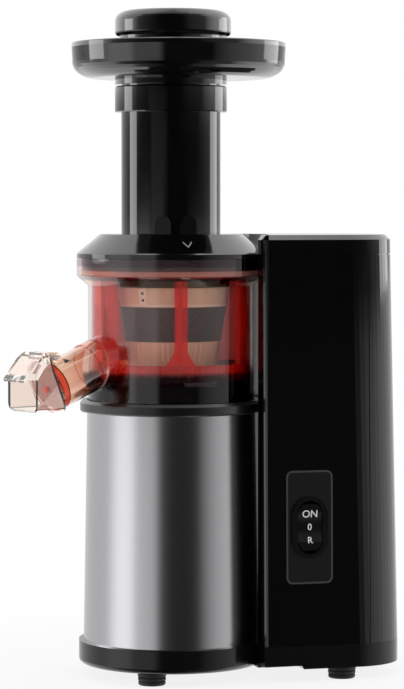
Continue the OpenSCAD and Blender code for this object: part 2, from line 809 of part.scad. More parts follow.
module switch_bezel() {
    color("black") panel_frame() {
        difference() {
            union() {
                translate([0, 0, 0.5]) oval(bezel_w, bezel_h, 1.3);
                translate([0, 0, -rocker_back]) oval(bezel_w - 2.4, bezel_h - 2.4, rocker_back + over);
            }
            translate([0, 0, -12])
                oval(rocker_w + 2 * rocker_gap, rocker_h + 2 * rocker_end_gap, 24);
        }
        translate([0, 0, -rocker_pivot]) rotate([0, 90, 0])
            cylinder(r = pivot_pin_r, h = rocker_w + 2 * rocker_gap + 1, center = true);
    }
}

module switch_rocker() {
    color("black") panel_frame() difference() {
        intersection() {
            translate([0, 0, -rocker_back]) oval(rocker_w, rocker_h, rocker_back + 1.6);
            translate([0, 0, -rocker_pivot]) rotate([0, 90, 0])
                cylinder(r = rocker_h / 2, h = 2 * rocker_w, center = true);
        }
        // dished face
        translate([0, 0, rocker_h * 1.5 + 0.7]) rotate([0, 90, 0])
            cylinder(r = rocker_h * 1.5, h = 2 * rocker_w, center = true);
        translate([0, 0, -rocker_pivot]) rotate([0, 90, 0])
            cylinder(r = pivot_pin_r + run_gap, h = 2 * rocker_w, center = true);
    }
}

module switch_body() {
    depth = 20;
    w = bezel_w - 2.4;
    h = bezel_h - 2.4;
    color("dimgray") panel_frame() {
        difference() {
            translate([-w / 2, -h / 2, -rocker_back - depth]) cube([w, h, depth]);
            translate([0, 0, -rocker_back - 4.5])
                oval(rocker_w + 2 * rocker_gap, rocker_h + 2 * rocker_end_gap, 20);
        }
        for (y = [-10, 0, 10]) translate([-3, y - 0.4, -rocker_back - depth - 7])
            cube([6, 0.8, 7 + thin]);
    }
}

module control_board() {
    face = board[1] - thin;
    translate(board_spot) {
        color("seagreen") cube(board);
        color("darkblue") translate([14, face, 34]) rotate([-90, 0, 0]) cylinder(r = 8, h = 22);
        color("dimgray") translate([30, face, 28]) cube([16, 14, 20]);
        color("silver") translate([8, face, 56]) cube([24, 3, 18]);
        color("goldenrod") translate([44, face, 64]) rotate([-90, 0, 0]) cylinder(r = 5, h = 14);
    }
}

// ---- motor ----
bearing_r = 8;
bearing_h = 6;
can_wall = 2;
can_plate = 3;
bell_h = 4;
boss_r = 10;
shaft_hole_r = motor_shaft_r + 1.5;
z_front_bearing = z_housing - can_plate - bearing_h;

module motor_can() {
    color("silver") difference() {
        translate([0, 0, z_can + bell_h]) cylinder(r = can_r, h = can_len - bell_h);
        difference() {
            translate([0, 0, z_can]) cylinder(r = can_r - can_wall, h = can_len - can_plate);
            translate([0, 0, z_front_bearing]) cylinder(r = boss_r, h = bearing_h + over);
        }
        translate([0, 0, z_front_bearing - over]) cylinder(r = bearing_r, h = bearing_h + over);
        translate([0, 0, z_housing - can_plate - over]) cylinder(r = shaft_hole_r, h = 6);
        ring_of(4, flange_dist) translate([0, 0, z_housing - can_plate - over])
            cylinder(r = screw_r, h = 6);
    }
}

brush_x = 18.5;
brush_box = [16, 11, 19];
carbon = [16, 6.4, 7];
z_carbon = z_can + 11;
module motor_end_bell() {
    color("darkgray") difference() {
        translate([0, 0, z_can]) {
            cylinder(r = can_r, h = bell_h);
            cylinder(r = boss_r, h = bell_h + bearing_h);
            for (s = [-1, 1]) translate([s * brush_x - brush_box[0] / 2, -brush_box[1] / 2, 0])
                cube(brush_box);
        }
        translate([0, 0, z_can + bell_h]) cylinder(r = bearing_r, h = bearing_h + over);
        translate([0, 0, z_can - over]) cylinder(r = shaft_hole_r, h = 8);
        for (s = [-1, 1]) translate([s * brush_x - 10, -carbon[1] / 2, z_carbon])
            cube([20, carbon[1], carbon[2]]);
        ring_of(4, can_r - 11, 45) translate([0, 0, z_can - over]) cylinder(r = 6, h = 8);
    }
}

magnet_arc = 125;
core_r = can_r - 13.6;
core_h = 27;
core_rise = 23;
z_core = z_can + core_rise;
end_turn_h = 3.5;
module motor_magnets() {
    color("dimgray") for (a = [0, 180])
        translate([0, 0, z_core - 2]) arc_block(core_r + 0.7, can_r - can_wall, a, magnet_arc, core_h + 4);
}

module shaft_bearings() {
    color("silver") {
        for (z = [z_can + bell_h, z_front_bearing]) translate([0, 0, z])
            tube(bearing_r, motor_shaft_r + run_gap, bearing_h);
        translate([0, 0, z_cover]) tube(seal_r, drive_r + run_gap, 7);
    }
}

commutator_r = 10;
module carbon_brushes() {
    color("dimgray") for (s = [-1, 1])
        translate([s * (brush_x - 0.3) - carbon[0] / 2, -carbon[1] / 2, z_carbon]) cube(carbon);
}

z_fan = z_can - 11;
z_sun = z_housing + gb_floor + 1;
module rotor_shaft() {
    color("silver") {
        translate([0, 0, z_fan]) cylinder(r = motor_shaft_r, h = z_sun - z_fan + thin);
        translate([0, 0, z_sun]) linear_extrude(planet_w + 1) outer_gear(planet_mod, sun_teeth);
    }
}

slots = 12;
slot_r = 2.6;
slot_dist = core_r - 6.4;
module rotor_core() {
    color("gray") translate([0, 0, z_core]) linear_extrude(core_h) difference() {
        circle(core_r);
        circle(motor_shaft_r);
        for (i = [0:slots - 1]) rotate(360 * i / slots) {
            translate([slot_dist, 0]) circle(slot_r);
            translate([slot_dist, -1]) square([12, 2]);
        }
    }
}

module rotor_windings() {
    color("peru") {
        ring_of(slots, slot_dist) translate([0, 0, z_core - thin])
            cylinder(r = slot_r, h = core_h + 2 * thin);
        for (z = [z_core - end_turn_h, z_core + core_h]) translate([0, 0, z])
            tube(slot_dist + 3, commutator_r + 1, end_turn_h);
        translate([0, 0, z_can + 10.5]) tube(commutator_r, motor_shaft_r, z_core - z_can - 10.5);
    }
}

fan_blades = 9;
fan_r = can_r - 6;
fan_h = 9;
fan_hub_r = 7;
module motor_fan() {
    color("black") translate([0, 0, z_fan]) {
        tube(fan_hub_r, motor_shaft_r, fan_h);
        tube(fan_r, fan_hub_r - thin, 1.4);
        ring_of(fan_blades, fan_hub_r - 0.5) translate([0, -0.7, 0])
            cube([fan_r - fan_hub_r - 1, 1.4, fan_h - 1]);
    }
}

// ---- gearbox ----
// Plate with four ears on the screw circle
module eared_plate() {
    for (a = [45:90:315]) rotate([0, 0, a]) {
        translate([gearbox_r - 3, -post_r, 0]) cube([ear_dist - gearbox_r + 3, 2 * post_r, cover_h]);
        translate([ear_dist, 0, 0]) cylinder(r = post_r, h = cover_h);
    }
}

module gearbox_housing() {
    color("silver") difference() {
        union() {
            translate([0, 0, z_housing]) {
                cylinder(r = gearbox_r, h = z_cover - z_housing);
                cylinder(r = can_r, h = cover_h);
            }
            translate([0, 0, z_cover - cover_h]) eared_plate();
        }
        translate([0, 0, z_housing + gb_floor])
            rotate([0, 0, ring_turn(sun_teeth, sun_teeth, annulus_teeth)])
                linear_extrude(z_cover - z_housing) ring_space(planet_mod, annulus_teeth);
        translate([0, 0, z_housing - over]) cylinder(r = shaft_hole_r, h = 6);
        ring_of(4, flange_dist) translate([0, 0, z_housing - over]) cylinder(r = screw_r, h = 8);
        ring_of(4, ear_dist, 45) translate([0, 0, z_cover - cover_h - over])
            cylinder(r = screw_r, h = cover_h + 2 * over);
    }
}

module gearbox_cover() {
    color("silver") translate([0, 0, z_cover]) difference() {
        union() {
            cylinder(r = gearbox_r, h = cover_h);
            cylinder(r = seal_r + 2.5, h = 8);
            eared_plate();
        }
        translate([0, 0, -over]) cylinder(r = seal_r, h = 7 + over);
        cylinder(r = drive_r + 1, h = 10);
        ring_of(4, ear_dist, 45) translate([0, 0, -over]) cylinder(r = screw_r, h = cover_h + 2 * over);
    }
}

// Planet number i of a stage, in mesh with a sun whose tooth lies on +X
module planet(z, i) {
    a = 120 * i;
    color("goldenrod") translate([0, 0, z]) rotate([0, 0, a]) translate([planet_dist, 0, 0])
        rotate([0, 0, mesh_turn(sun_teeth, sun_teeth, a) - a]) linear_extrude(planet_w) difference() {
            outer_gear(planet_mod, sun_teeth);
            circle(pin_r + run_gap);
        }
}

// Plate that carries a stage's planets on three pins
module planet_carrier(z, reach) {
    translate([0, 0, z]) cylinder(r = planet_dist + pin_r + 2, h = plate_h);
    ring_of(3, planet_dist) translate([0, 0, z - reach]) cylinder(r = pin_r, h = reach + thin);
}

module gear_carrier() {
    color("silver") {
        planet_carrier(z_low_plate, planet_w + axial_gap + 0.8);
        translate([0, 0, z_low_plate + plate_h - thin]) linear_extrude(planet_w + 1.4 + thin)
            outer_gear(planet_mod, sun_teeth);
    }
}

module drive_shaft() {
    color("silver") {
        planet_carrier(z_top_plate, planet_w + axial_gap + 0.5);
        translate([0, 0, z_top_plate]) cylinder(r = drive_r, h = z_shaft_neck - z_top_plate);
        translate([0, 0, z_shaft_neck - thin]) cylinder(r = hex_af / 2 / cos(30),
            h = z_shaft_top - z_shaft_neck + thin, $fn = 6);
    }
}

// ---- bowl sensor ----
pin_travel = 1.5;
z_pin_foot = z_sensor_switch + pin_travel + 0.3;
module sensor_pin() {
    color("white") translate([sensor_x, 0, z_pin_foot]) {
        cylinder(r = sensor_r, h = z_floor - floor_t - rest_gap - z_pin_foot);
        cylinder(r = 3.4, h = 1.2);
    }
}

spring_r = 2.55;
wire_r = 0.35;
spring_turns = 3.5;
module sensor_spring() {
    low = z_pin_foot + 1.2;
    rise = z_guide - low - 2 * wire_r;
    sides = 6;
    steps = 16 * spring_turns;
    points = [for (i = [0:steps], k = [0:sides - 1]) let (t = i / steps, a = 360 * spring_turns * t)
        concat(polar(spring_r + wire_r * cos(60 * k), a), wire_r + rise * t + wire_r * sin(60 * k))];
    walls = [for (i = [0:steps - 1], k = [0:sides - 1]) let (n = (k + 1) % sides)
        [i * sides + k, (i + 1) * sides + k, (i + 1) * sides + n, i * sides + n]];
    ends = [[for (k = [0:sides - 1]) k], [for (k = [sides - 1:-1:0]) steps * sides + k]];
    color("silver") translate([sensor_x, 0, low]) polyhedron(points, concat(ends, walls));
}

module sensor_switch() {
    color("dimgray") translate([sensor_x, 0, z_sensor_switch - 9]) {
        translate([-9, -7, 0]) cube([18, 14, 8]);
        translate([-6, -9, 0]) cube([12, 2 + thin, 9]);
        cylinder(r = 1.4, h = 9);
    }
}

// ---- bowl ----
module at_spout() {
    rotate([0, 0, 180 + spout_turn]) translate([bowl_r, 0, spout_z])
        rotate([0, 90 + spout_drop, 0]) children();
}

// A profile in [distance from the drive axis, height], spread across the juice spout
module across_spout(width) {
    rotate([0, 0, 180 + spout_turn]) rotate([90, 0, 0])
        linear_extrude(width, center = true) children();
}

// The same across the pulp spout
module across_pulp(width) {
    rotate([0, 0, pulp_turn]) rotate([90, 0, 0]) linear_extrude(width, center = true) children();
}

module cap_pin(r, length = 4 * knuckle_w) {
    across_spout(length) translate(hinge) circle(r);
}

module flap_pin(r, length = 4 * knuckle_w) {
    across_pulp(length) translate([flap_s, flap_z]) circle(r);
}

module bowl_shell() {
    rotate_extrude() polygon([
        [collar_in_r, z_floor - floor_t], [bowl_r - bowl_wall, z_floor - floor_t],
        [bowl_r - bowl_wall, z_bowl], [bowl_r - 0.5, z_bowl], [bowl_r, z_bowl + 0.5],
        [bowl_r, z_flare], [rim_r - 1, z_rim], [rim_r, z_rim + 1], [rim_r, z_lid - rest_gap],
        [rim_r - 3, z_lid - rest_gap], [rim_r - 3, z_ledge], [bowl_r + 0.4, z_ledge],
        [bowl_r - bowl_wall, z_flare + 1.5], [bowl_r - bowl_wall, z_floor],
        [collar_out_r, z_floor], [collar_out_r, z_collar_top], [collar_in_r, z_collar_top]
    ]);
}

module juice_bowl() {
    color("thistle", 0.5) difference() {
        union() {
            bowl_shell();
            difference() {
                at_spout() {
                    translate([0, 0, -8]) cylinder(r = spout_r, h = spout_len + 8);
                    translate([0, 0, -8]) cylinder(r = spout_r + 0.8, h = 20);
                }
                translate([0, 0, z_floor]) cylinder(r = bowl_r - bowl_wall, h = bowl_wall_h);
            }
            // ears that hold the cap's hinge pin
            difference() {
                across_spout(knuckle_w + 0.6 + 2 * ear_w) {
                    translate(hinge) circle(knuckle_r);
                    polygon([hinge + [-knuckle_r, 0], hinge + polar(knuckle_r, -spout_drop),
                        past_mouth(0, spout_r - 2), past_mouth(-9, spout_r - 2)]);
                }
                across_spout(knuckle_w + 0.6) translate(hinge) circle(knuckle_r + 5);
            }
            // pulp port and the spout under the floor
            translate([0, 0, z_floor - thin]) arc_block(port_low_r - port_wall, port_high_r + port_wall,
                pulp_turn, port_arc + 6, z_strainer - z_floor + thin);
            rotate([0, 0, pulp_turn]) translate([port_low_r - pulp_wall, -pulp_half, pulp_low])
                cube([pulp_reach - port_low_r + pulp_wall, 2 * pulp_half, z_floor - 0.4 - pulp_low]);
            difference() {
                across_pulp(2 * flap_ear_half) {
                    translate([flap_s, flap_z]) circle(flap_knuckle_r);
                    polygon([[pulp_reach - 7, z_floor - 1], [pulp_reach - 0.2, z_floor - 1],
                        [pulp_reach - 0.2, z_floor + 0.9], [flap_s, flap_z - flap_knuckle_r],
                        [flap_s, flap_z + flap_knuckle_r]]);
                }
                across_pulp(flap_knuckle_w + 0.6) translate([pulp_reach - 8, z_floor + thin])
                    square([20, 10]);
            }
            // posts of the idler gears
            ring_of(2, idler_dist, idler_turn) translate([0, 0, z_floor - thin]) {
                cylinder(r = idler_pin_r, h = z_gear + gear_w + 0.6 - z_floor);
                cylinder(r = idler_pin_r + 2, h = z_gear - rest_gap - z_floor + thin);
            }
        }
        at_spout() translate([0, 0, -8]) cylinder(r = bore_r, h = spout_len + 20);
        cap_pin(hinge_pin_r);
        flap_pin(flap_pin_r);
        translate([0, 0, z_floor - floor_t - over]) arc_block(port_low_r, port_high_r,
            pulp_turn, port_arc, z_strainer - z_floor + floor_t + 2 * over);
        rotate([0, 0, pulp_turn]) translate([port_low_r, -pulp_w / 2, pulp_low + pulp_wall])
            cube([pulp_reach, pulp_w, pulp_high - pulp_low - pulp_wall]);
    }
}

module bowl_seal() {
    lip = drive_r + run_gap;
    color("firebrick") rotate_extrude() polygon([
        [lip, z_floor - floor_t], [collar_in_r, z_floor - floor_t], [collar_in_r, z_floor + 3],
        [lip + 1, z_floor + 3], [lip + 1, z_floor + 1], [lip, z_floor]
    ]);
}

module hinge_pins() {
    color("silver") {
        cap_pin(hinge_pin_r, knuckle_w + 1.2 + 2 * ear_w);
        flap_pin(flap_pin_r, 2 * flap_ear_half + 0.6);
    }
}

module pulp_flap() {
    color("firebrick") difference() {
        union() {
            across_pulp(2 * pulp_half) translate([pulp_reach + rest_gap, pulp_low])
                square([flap_t, z_floor + 0.2 - pulp_low]);
            across_pulp(flap_knuckle_w) {
                translate([flap_s, flap_z]) circle(flap_knuckle_r);
                translate([pulp_reach + rest_gap, z_floor - 1]) square([flap_t, flap_z - z_floor + 1]);
            }
        }
        flap_pin(flap_pin_r + run_gap);
    }
}

// ---- drip-stop cap of the juice spout ----
hood_rear_top = past_mouth(rest_gap + plug_t + cap_plate, spout_r);
hood_rear_low = past_mouth(rest_gap + plug_t + cap_plate, -spout_r);
lever_root = [hinge[0] + 8, hood_top];
module spout_cap() {
    color("lavender", 0.5) difference() {
        union() {
            at_spout() translate([0, 0, spout_len + rest_gap + plug_t])
                cylinder(r = hood_half, h = cap_plate);
            // hood, with rounded sides
            intersection() {
                across_spout(2 * hood_half) polygon([
                    hood_rear_top, lever_root, [hood_s, hinge[1] - 9], [hood_s, hood_low + 2],
                    [hood_s - 2, hood_low], [hood_rear_low[0], hood_low], hood_rear_low
                ]);
                rotate([0, 0, 180 + spout_turn]) translate([0, 0, (hood_top + hood_low) / 2])
                    rotate([90, 0, 90]) rounded_box(2 * hood_half, hood_top - hood_low, 6, 4 * bowl_r);
            }
            // lever and knuckle
            across_spout(2 * lever_half) polygon([
                hinge + [6, 1], lever_root, [lever_s, lever_low + 1.6], [lever_s - 0.6, lever_low],
                [hood_s - 1, lever_low + 2.6], hinge + [8, -1]
            ]);
            across_spout(knuckle_w) {
                translate(hinge) circle(knuckle_r);
                polygon([hinge + [0, knuckle_r], lever_root, hood_rear_top, hinge + polar(knuckle_r, -60)]);
            }
        }
        // hollow of the hood, open below
        across_spout(2 * (hood_half - hood_wall)) polygon([
            hood_rear_top + [0.4, -1.5], lever_root + [-0.5, -4.4], [hood_s - hood_wall, hinge[1] - 13],
            [hood_s - hood_wall, hood_low - over], [hood_rear_low[0] + 0.4, hood_low - over],
            hood_rear_low + [0.4, 0]
        ]);
        cap_pin(hinge_pin_r + run_gap);
        at_spout() translate([0, 0, spout_len]) cylinder(r = 2.2, h = 20);
    }
}

module spout_plug() {
    color("orangered") at_spout() translate([0, 0, spout_len]) rotate_extrude() polygon([
        [0, -1.6], [bore_r - 1.2, -1.6], [bore_r - 0.5, -0.8], [bore_r - 0.5, rest_gap],
        [spout_r - 0.4, rest_gap], [spout_r, rest_gap + 0.5], [spout_r, rest_gap + plug_t - 0.6],
        [spout_r - 0.6, rest_gap + plug_t], [2.2, rest_gap + plug_t],
        [2.2, rest_gap + plug_t + cap_plate + 1], [1.4, rest_gap + plug_t + cap_plate + 2.2],
        [0, rest_gap + plug_t + cap_plate + 2.4]
    ]);
}

// ---- gears and brush in the bowl ----
module idler_gear(side) {
    a = idler_turn + side;
    color("ivory") translate([0, 0, z_gear]) rotate([0, 0, a]) translate([idler_dist, 0, 0])
        rotate([0, 0, mesh_turn(auger_teeth, idler_teeth, a) - a]) linear_extrude(gear_w) difference() {
            outer_gear(brush_mod, idler_teeth);
            circle(idler_pin_r + run_gap);
        }
}

brush_turn = idler_turn + idler_teeth / ring_teeth
    * (mesh_turn(auger_teeth, idler_teeth, idler_turn) - idler_turn);
wing_posts = [1, 4];
post_low_half = brush_r * sin(post_arc * 1.3);
blade_t = 1.4;
blade_seat = 1.2;
function is_wing(i) = len([for (w = wing_posts) if (w == i) w]) > 0;

// A flat outline in [across, height], cut through the brush's wall at an angle
module through_wall(angle) {
    rotate([0, 0, angle]) translate([brush_r - 2 * post_t, 0, 0]) rotate([90, 0, 90])
        linear_extrude(3 * post_t) children();
}

module brush_post(i) {
    angle = post_turn + i * 360 / posts;
    half = brush_r * sin((is_wing(i) ? wing_arc : post_arc) / 2);
    low_half = is_wing(i) ? half : post_low_half;
    intersection() {
        translate([0, 0, z_ring_top - over])
            tube(brush_r, brush_r - post_t, z_brush_top - z_ring_top);
        difference() {
            through_wall(angle) polygon([
                [-half, z_brush_top], [-half, z_ring_top + 9], [-(half + low_half) / 2, z_ring_top + 3],
                [-low_half, z_ring_top - over], [low_half, z_ring_top - over],
                [(half + low_half) / 2, z_ring_top + 3], [half, z_ring_top + 9], [half, z_brush_top]
            ]);
            if (is_wing(i)) for (s = [-1, 1]) through_wall(angle + s * wing_arc / 4)
                polygon([[-1, z_ring_top + 36], [1, z_ring_top + 36],
                    [3.2, z_ring_top + 15], [-3.2, z_ring_top + 15]]);
        }
    }
}

module brush_frame() {
    notch = PI * brush_mod * 0.5;
    color("red") difference() {
        union() {
            // toothed ring: closed above, open teeth below
            translate([0, 0, z_brush + crown_h]) linear_extrude(ring_h - crown_h) difference() {
                circle(brush_r);
                rotate(brush_turn) ring_space(brush_mod, ring_teeth);
            }
            translate([0, 0, z_brush]) linear_extrude(crown_h + thin) difference() {
                circle(brush_r);
                rotate(brush_turn) {
                    ring_space(brush_mod, ring_teeth);
                    for (i = [0:ring_teeth - 1]) rotate(i * 360 / ring_teeth)
                        translate([brush_mod * ring_teeth / 2, -notch / 2]) square([20, notch]);
                }
            }
            for (i = [0:posts - 1]) brush_post(i);
            translate([0, 0, z_brush_top - top_ring_h]) tube(brush_r, brush_r - post_t, top_ring_h);
        }
        for (i = [0:posts - 1]) rotate([0, 0, post_turn + i * 360 / posts])
            translate([0, -blade_t / 2, z_ring_top + 2])
                cube([brush_r - post_t + blade_seat, blade_t, z_brush_top - top_ring_h - z_ring_top - 2]);
    }
}

module wiper_blades() {
    color("tomato") for (i = [0:posts - 1]) rotate([0, 0, post_turn + i * 360 / posts])
        rotate([90, 0, 0]) linear_extrude(blade_t, center = true) polygon([
            [brush_r - post_t + blade_seat, z_ring_top + 2],
            [strainer_r(z_ring_top + 2) + 0.6, z_ring_top + 2],
            [strainer_top_r + 0.6, z_strainer_top], [strainer_top_r + 0.6, z_brush_top - top_ring_h],
            [brush_r - post_t + blade_seat, z_brush_top - top_ring_h]
        ]);
}

// ---- strainer ----
z_mesh = z_strainer + low_band_h;
z_top_band = z_mesh + mesh_h;
mesh_t = 0.7;
foot_dist = (port_low_r + port_high_r) / 2 + 1;
module strainer_frame() {
    color("sandybrown", 0.8) difference() {
        union() {
            rotate_extrude() polygon([
                [auger_hub_r + 0.6, z_strainer], [strainer_low_r, z_strainer],
                [strainer_r(z_mesh), z_mesh], [strainer_r(z_mesh) - mesh_t, z_mesh],
                [strainer_r(z_top_band) - mesh_t, z_top_band], [strainer_r(z_top_band), z_top_band],
                [strainer_top_r, z_strainer_top], [strainer_top_r - strainer_wall, z_strainer_top],
                [strainer_low_r - strainer_wall, z_strainer + strainer_plate],
                [auger_hub_r + 0.6, z_strainer + strainer_plate]
            ]);
            for (a = [180, 48, -48]) rotate([0, 0, pulp_turn + a])
                translate([foot_dist, 0, z_floor]) cylinder(r = 2.2, h = z_strainer - z_floor + thin);
        }
        for (i = [0:strainer_ribs - 1]) rotate([0, 0, i * 360 / strainer_ribs])
            translate([0, 0, z_mesh + 1]) arc_block(strainer_low_r - 8, strainer_top_r + 4,
                0, 360 / strainer_ribs - 6, mesh_h - 2);
        translate([0, 0, z_strainer - over])
            arc_block(port_low_r, port_high_r, pulp_turn, port_arc, strainer_plate + 2 * over);
    }
}

module strainer_mesh() {
    color("dimgray") rotate_extrude() polygon([
        [strainer_r(z_mesh) - mesh_t, z_mesh], [strainer_r(z_mesh), z_mesh],
        [strainer_r(z_top_band), z_top_band], [strainer_r(z_top_band) - mesh_t, z_top_band]
    ]);
}

// ---- auger ----
flights = 3;
flight_t = 3.4;
flight_gap = 0.9;
flight_turn = 230;
nose_r = 9;
nose_tip_r = 4;
auger_levels = 44;
function auger_z(i) = z_auger + (flight_h + nose_h) * i / auger_levels;
function nose_part(z) = max(0, (z - z_nose) / nose_h);
function auger_core(z) = z < z_nose
    ? auger_core_r + (nose_r - auger_core_r) * (z - z_auger) / flight_h
    : nose_r + (nose_tip_r - nose_r) * nose_part(z);
// Height of flight k over the core: only flight 0 runs on to the cutting nose
function flight_reach(z, k) =
    (strainer_r(min(z, z_nose)) - strainer_wall - flight_gap - auger_core(min(z, z_nose)))
    * max(0.03, 1 - nose_part(z) * (k == 0 ? 0.9 : 6));
function auger_section(z) = [for (k = [0:flights - 1])
    let (core = auger_core(z), tip = core + flight_reach(z, k), a = k * 360 / flights
         + flight_turn * (z - z_auger) / flight_h, foot = asin(flight_t / 2 / core),
         edge = asin(flight_t / 2 / tip))
    each [polar(core, a - foot), polar(tip, a - edge), polar(tip, a + edge),
          for (i = [0:4]) polar(core, a + foot + (360 / flights - 2 * foot) * i / 5)]];
module auger_screw() {
    n = 8 * flights;
    // the two ends are slightly hollow, round a middle point each
    points = concat([for (i = [0:auger_levels], p = auger_section(auger_z(i))) [p[0], p[1], auger_z(i)]],
        [[0, 0, auger_z(0) + 1], [0, 0, auger_z(auger_levels) - 1]]);
    low_mid = (auger_levels + 1) * n;
    walls = [for (i = [0:auger_levels - 1], k = [0:n - 1]) let (m = (k + 1) % n)
        each [[i * n + k, (i + 1) * n + k, i * n + m], [(i + 1) * n + k, (i + 1) * n + m, i * n + m]]];
    ends = [for (k = [0:n - 1]) let (m = (k + 1) % n, top = auger_levels * n)
        each [[k, m, low_mid], [top + m, top + k, low_mid + 1]]];
    color("ivory") difference() {
        polyhedron(points, concat(ends, walls));
        translate([0, 0, z_auger - over]) cylinder(r = socket_r, h = z_shaft_top + 3 - z_auger + over);
    }
}

module auger_gear() {
    color("ivory") translate([0, 0, z_gear]) difference() {
        union() {
            linear_extrude(gear_w) outer_gear(brush_mod, auger_teeth);
            cylinder(r = auger_hub_r, h = z_auger - z_gear);
        }
        translate([0, 0, -over]) cylinder(r = auger_bore_r, h = z_collar_top + 0.5 - z_gear + over);
        cylinder(r = socket_r, h = 30);
    }
}

module drive_socket() {
    low = z_collar_top + 0.5;
    color("silver") translate([0, 0, low]) difference() {
        cylinder(r = socket_r, h = z_shaft_top + 3 - low);
        translate([0, 0, -over]) cylinder(r = (hex_af / 2 + 0.1) / cos(30),
            h = z_shaft_top + 1 - low + over, $fn = 6);
    }
}

// ---- lid ----
chute_bore = chute_r - lid_wall;
spigot_r = chute_r + 0.2;
funnel_r = strainer_top_r - 0.2;
plug_r = rim_r - 3 - rest_gap;
z_plug = z_ledge + 3 + 2 * rest_gap;
rib_half = 5;
rib_h = 11.5;
module lid() {
    color("black") {
        rotate_extrude() polygon([
            [plug_r - 2.6, z_plug], [plug_r, z_plug], [plug_r, z_lid], [rim_r, z_lid],
            [rim_r, z_cone - 0.8], [rim_r - 0.8, z_cone], [lid_top_r, z_lid_top],
            [chute_r, z_lid_top], [chute_r, z_collar], [collar_r - 0.6, z_collar],
            [collar_r, z_collar + 0.6], [collar_r, z_chute - 0.8], [collar_r - 0.8, z_chute],
            [spigot_r, z_chute], [spigot_r, z_chute - spigot_h], [chute_bore, z_chute - spigot_h],
            [chute_bore, z_lid_top - 4], [funnel_r - 2.2, z_lid], [funnel_r - 2.2, z_strainer_top + 0.4],
            [funnel_r, z_strainer_top + 0.4], [funnel_r, z_lid], [chute_r + 1.5, z_lid_top - lid_wall],
            [lid_top_r - 1, z_lid_top - lid_wall], [plug_r - 2.6, z_cone - lid_wall]
        ]);
        // two ribs at the foot of the chute, on the switch side
        for (a = [-16, 12]) rotate([0, 0, post_turn + a]) translate([chute_r - 1, 0, z_lid_top - thin])
            rotate([90, 0, 90]) linear_extrude(3.2) {
                translate([-rib_half, 0]) square([2 * rib_half, rib_h - rib_half]);
                translate([0, rib_h - rib_half]) circle(rib_half);
            }
    }
}

module lid_seal() {
    color("whitesmoke") rotate_extrude() polygon([
        [plug_r - 2.4, z_ledge + rest_gap], [plug_r - 0.2, z_ledge + rest_gap],
        [plug_r - 0.2, z_ledge + 3 + rest_gap], [plug_r - 2.4, z_ledge + 3 + rest_gap]
    ]);
}

// ---- tray and pusher ----
tray_wall = 2.6;
cap_foot = 2.5;
cap_edge_w = 9;
cap_edge_h = 6.5;
module hopper_tray() {
    low = [tray_r - 0.6 - tray_curve, z_dish + tray_curve_h];
    color("black") difference() {
        union() {
            translate([tray_shift, 0, 0]) rotate_extrude() polygon(concat(
                [[0, z_dish]], oval_arc(low, tray_curve, tray_curve_h, -90, 0),
                [[tray_r, z_dish_rim - 3], [tray_r, z_dish_rim - 0.6],
                 [tray_r - 0.6, z_dish_rim], [tray_r - 2.4, z_dish_rim], [tray_r - 3, z_dish_rim - 0.8]],
                oval_arc(low, tray_curve - tray_wall, tray_curve_h - tray_wall, 0, -90),
                [[0, z_dish + tray_wall]]
            ));
            translate([0, 0, z_flange]) cylinder(r = collar_r, h = flange_h + thin);
            translate([0, 0, z_chute - spigot_h + rest_gap])
                cylinder(r = spigot_r - rest_gap, h = spigot_h + flange_gap);
        }
        translate([0, 0, z_chute - spigot_h - over]) cylinder(r = chute_bore, h = 2 * tray_h + spigot_h);
    }
}

stem_r = chute_bore - slide_gap;
shoulder_r = chute_bore + 4;
z_stem = z_lid_top + pusher_reach;
z_shoulder = z_dish + tray_wall + rest_gap;
stem_wall = 2.4;
module pusher_body() {
    color("black") rotate_extrude() polygon([
        [0, z_stem], [stem_r - 1.5, z_stem], [stem_r, z_stem + 1.5], [stem_r, z_shoulder],
        [shoulder_r, z_shoulder], [shoulder_r, z_cap], [shoulder_r - stem_wall, z_cap],
        [shoulder_r - stem_wall, z_shoulder + stem_wall], [stem_r - stem_wall, z_shoulder + stem_wall],
        [stem_r - stem_wall, z_stem + 3], [0, z_stem + 3]
    ]);
}

module pusher_cap() {
    color("black") {
        translate([0, 0, z_cap - 4]) cylinder(r = shoulder_r - stem_wall, h = 4 + thin);
        translate([cap_shift, 0, 0]) rotate_extrude() polygon(concat(
            [[0, z_cap]], oval_arc([cap_r - cap_foot, z_cap + cap_foot], cap_foot, cap_foot, -90, 0, 5),
            oval_arc([cap_r - cap_edge_w, z_top - cap_edge_h], cap_edge_w, cap_edge_h, 0, 90),
            [[0, z_top]]
        ));
    }
}

placed() base_tray();
placed() feet();
placed() housing_screws();
placed() chassis();
placed() steel_sleeve();
placed() top_deck();
placed() shaft_seal();
placed() column_shell();
placed() column_back_cover();
placed() column_top_cap();
placed() switch_panel();
placed() switch_trim();
placed() switch_bezel();
placed() switch_rocker();
placed() switch_body();
placed() control_board();
placed() cord_gland();
placed() motor_can();
placed() motor_end_bell();
placed() motor_magnets();
placed() shaft_bearings();
placed() carbon_brushes();
placed() rotor_shaft();
placed() rotor_core();
placed() rotor_windings();
placed() motor_fan();
placed() gearbox_housing();
placed() gearbox_cover();
placed() planet(z_low_planet, 0);  // low_planet_a
placed() planet(z_low_planet, 1);  // low_planet_b
placed() planet(z_low_planet, 2);  // low_planet_c
placed() gear_carrier();
placed() planet(z_top_planet, 0);  // top_planet_a
placed() planet(z_top_planet, 1);  // top_planet_b
placed() planet(z_top_planet, 2);  // top_planet_c
placed() drive_shaft();
placed() sensor_pin();
placed() sensor_spring();
placed() sensor_switch();
placed() juice_bowl();
placed() bowl_seal();
placed() idler_gear(0);  // idler_gear_a
placed() idler_gear(180);  // idler_gear_b
placed() brush_frame();
placed() wiper_blades();
placed() strainer_frame();
placed() strainer_mesh();
placed() auger_screw();
placed() auger_gear();
placed() drive_socket();
placed() spout_cap();
placed() spout_plug();
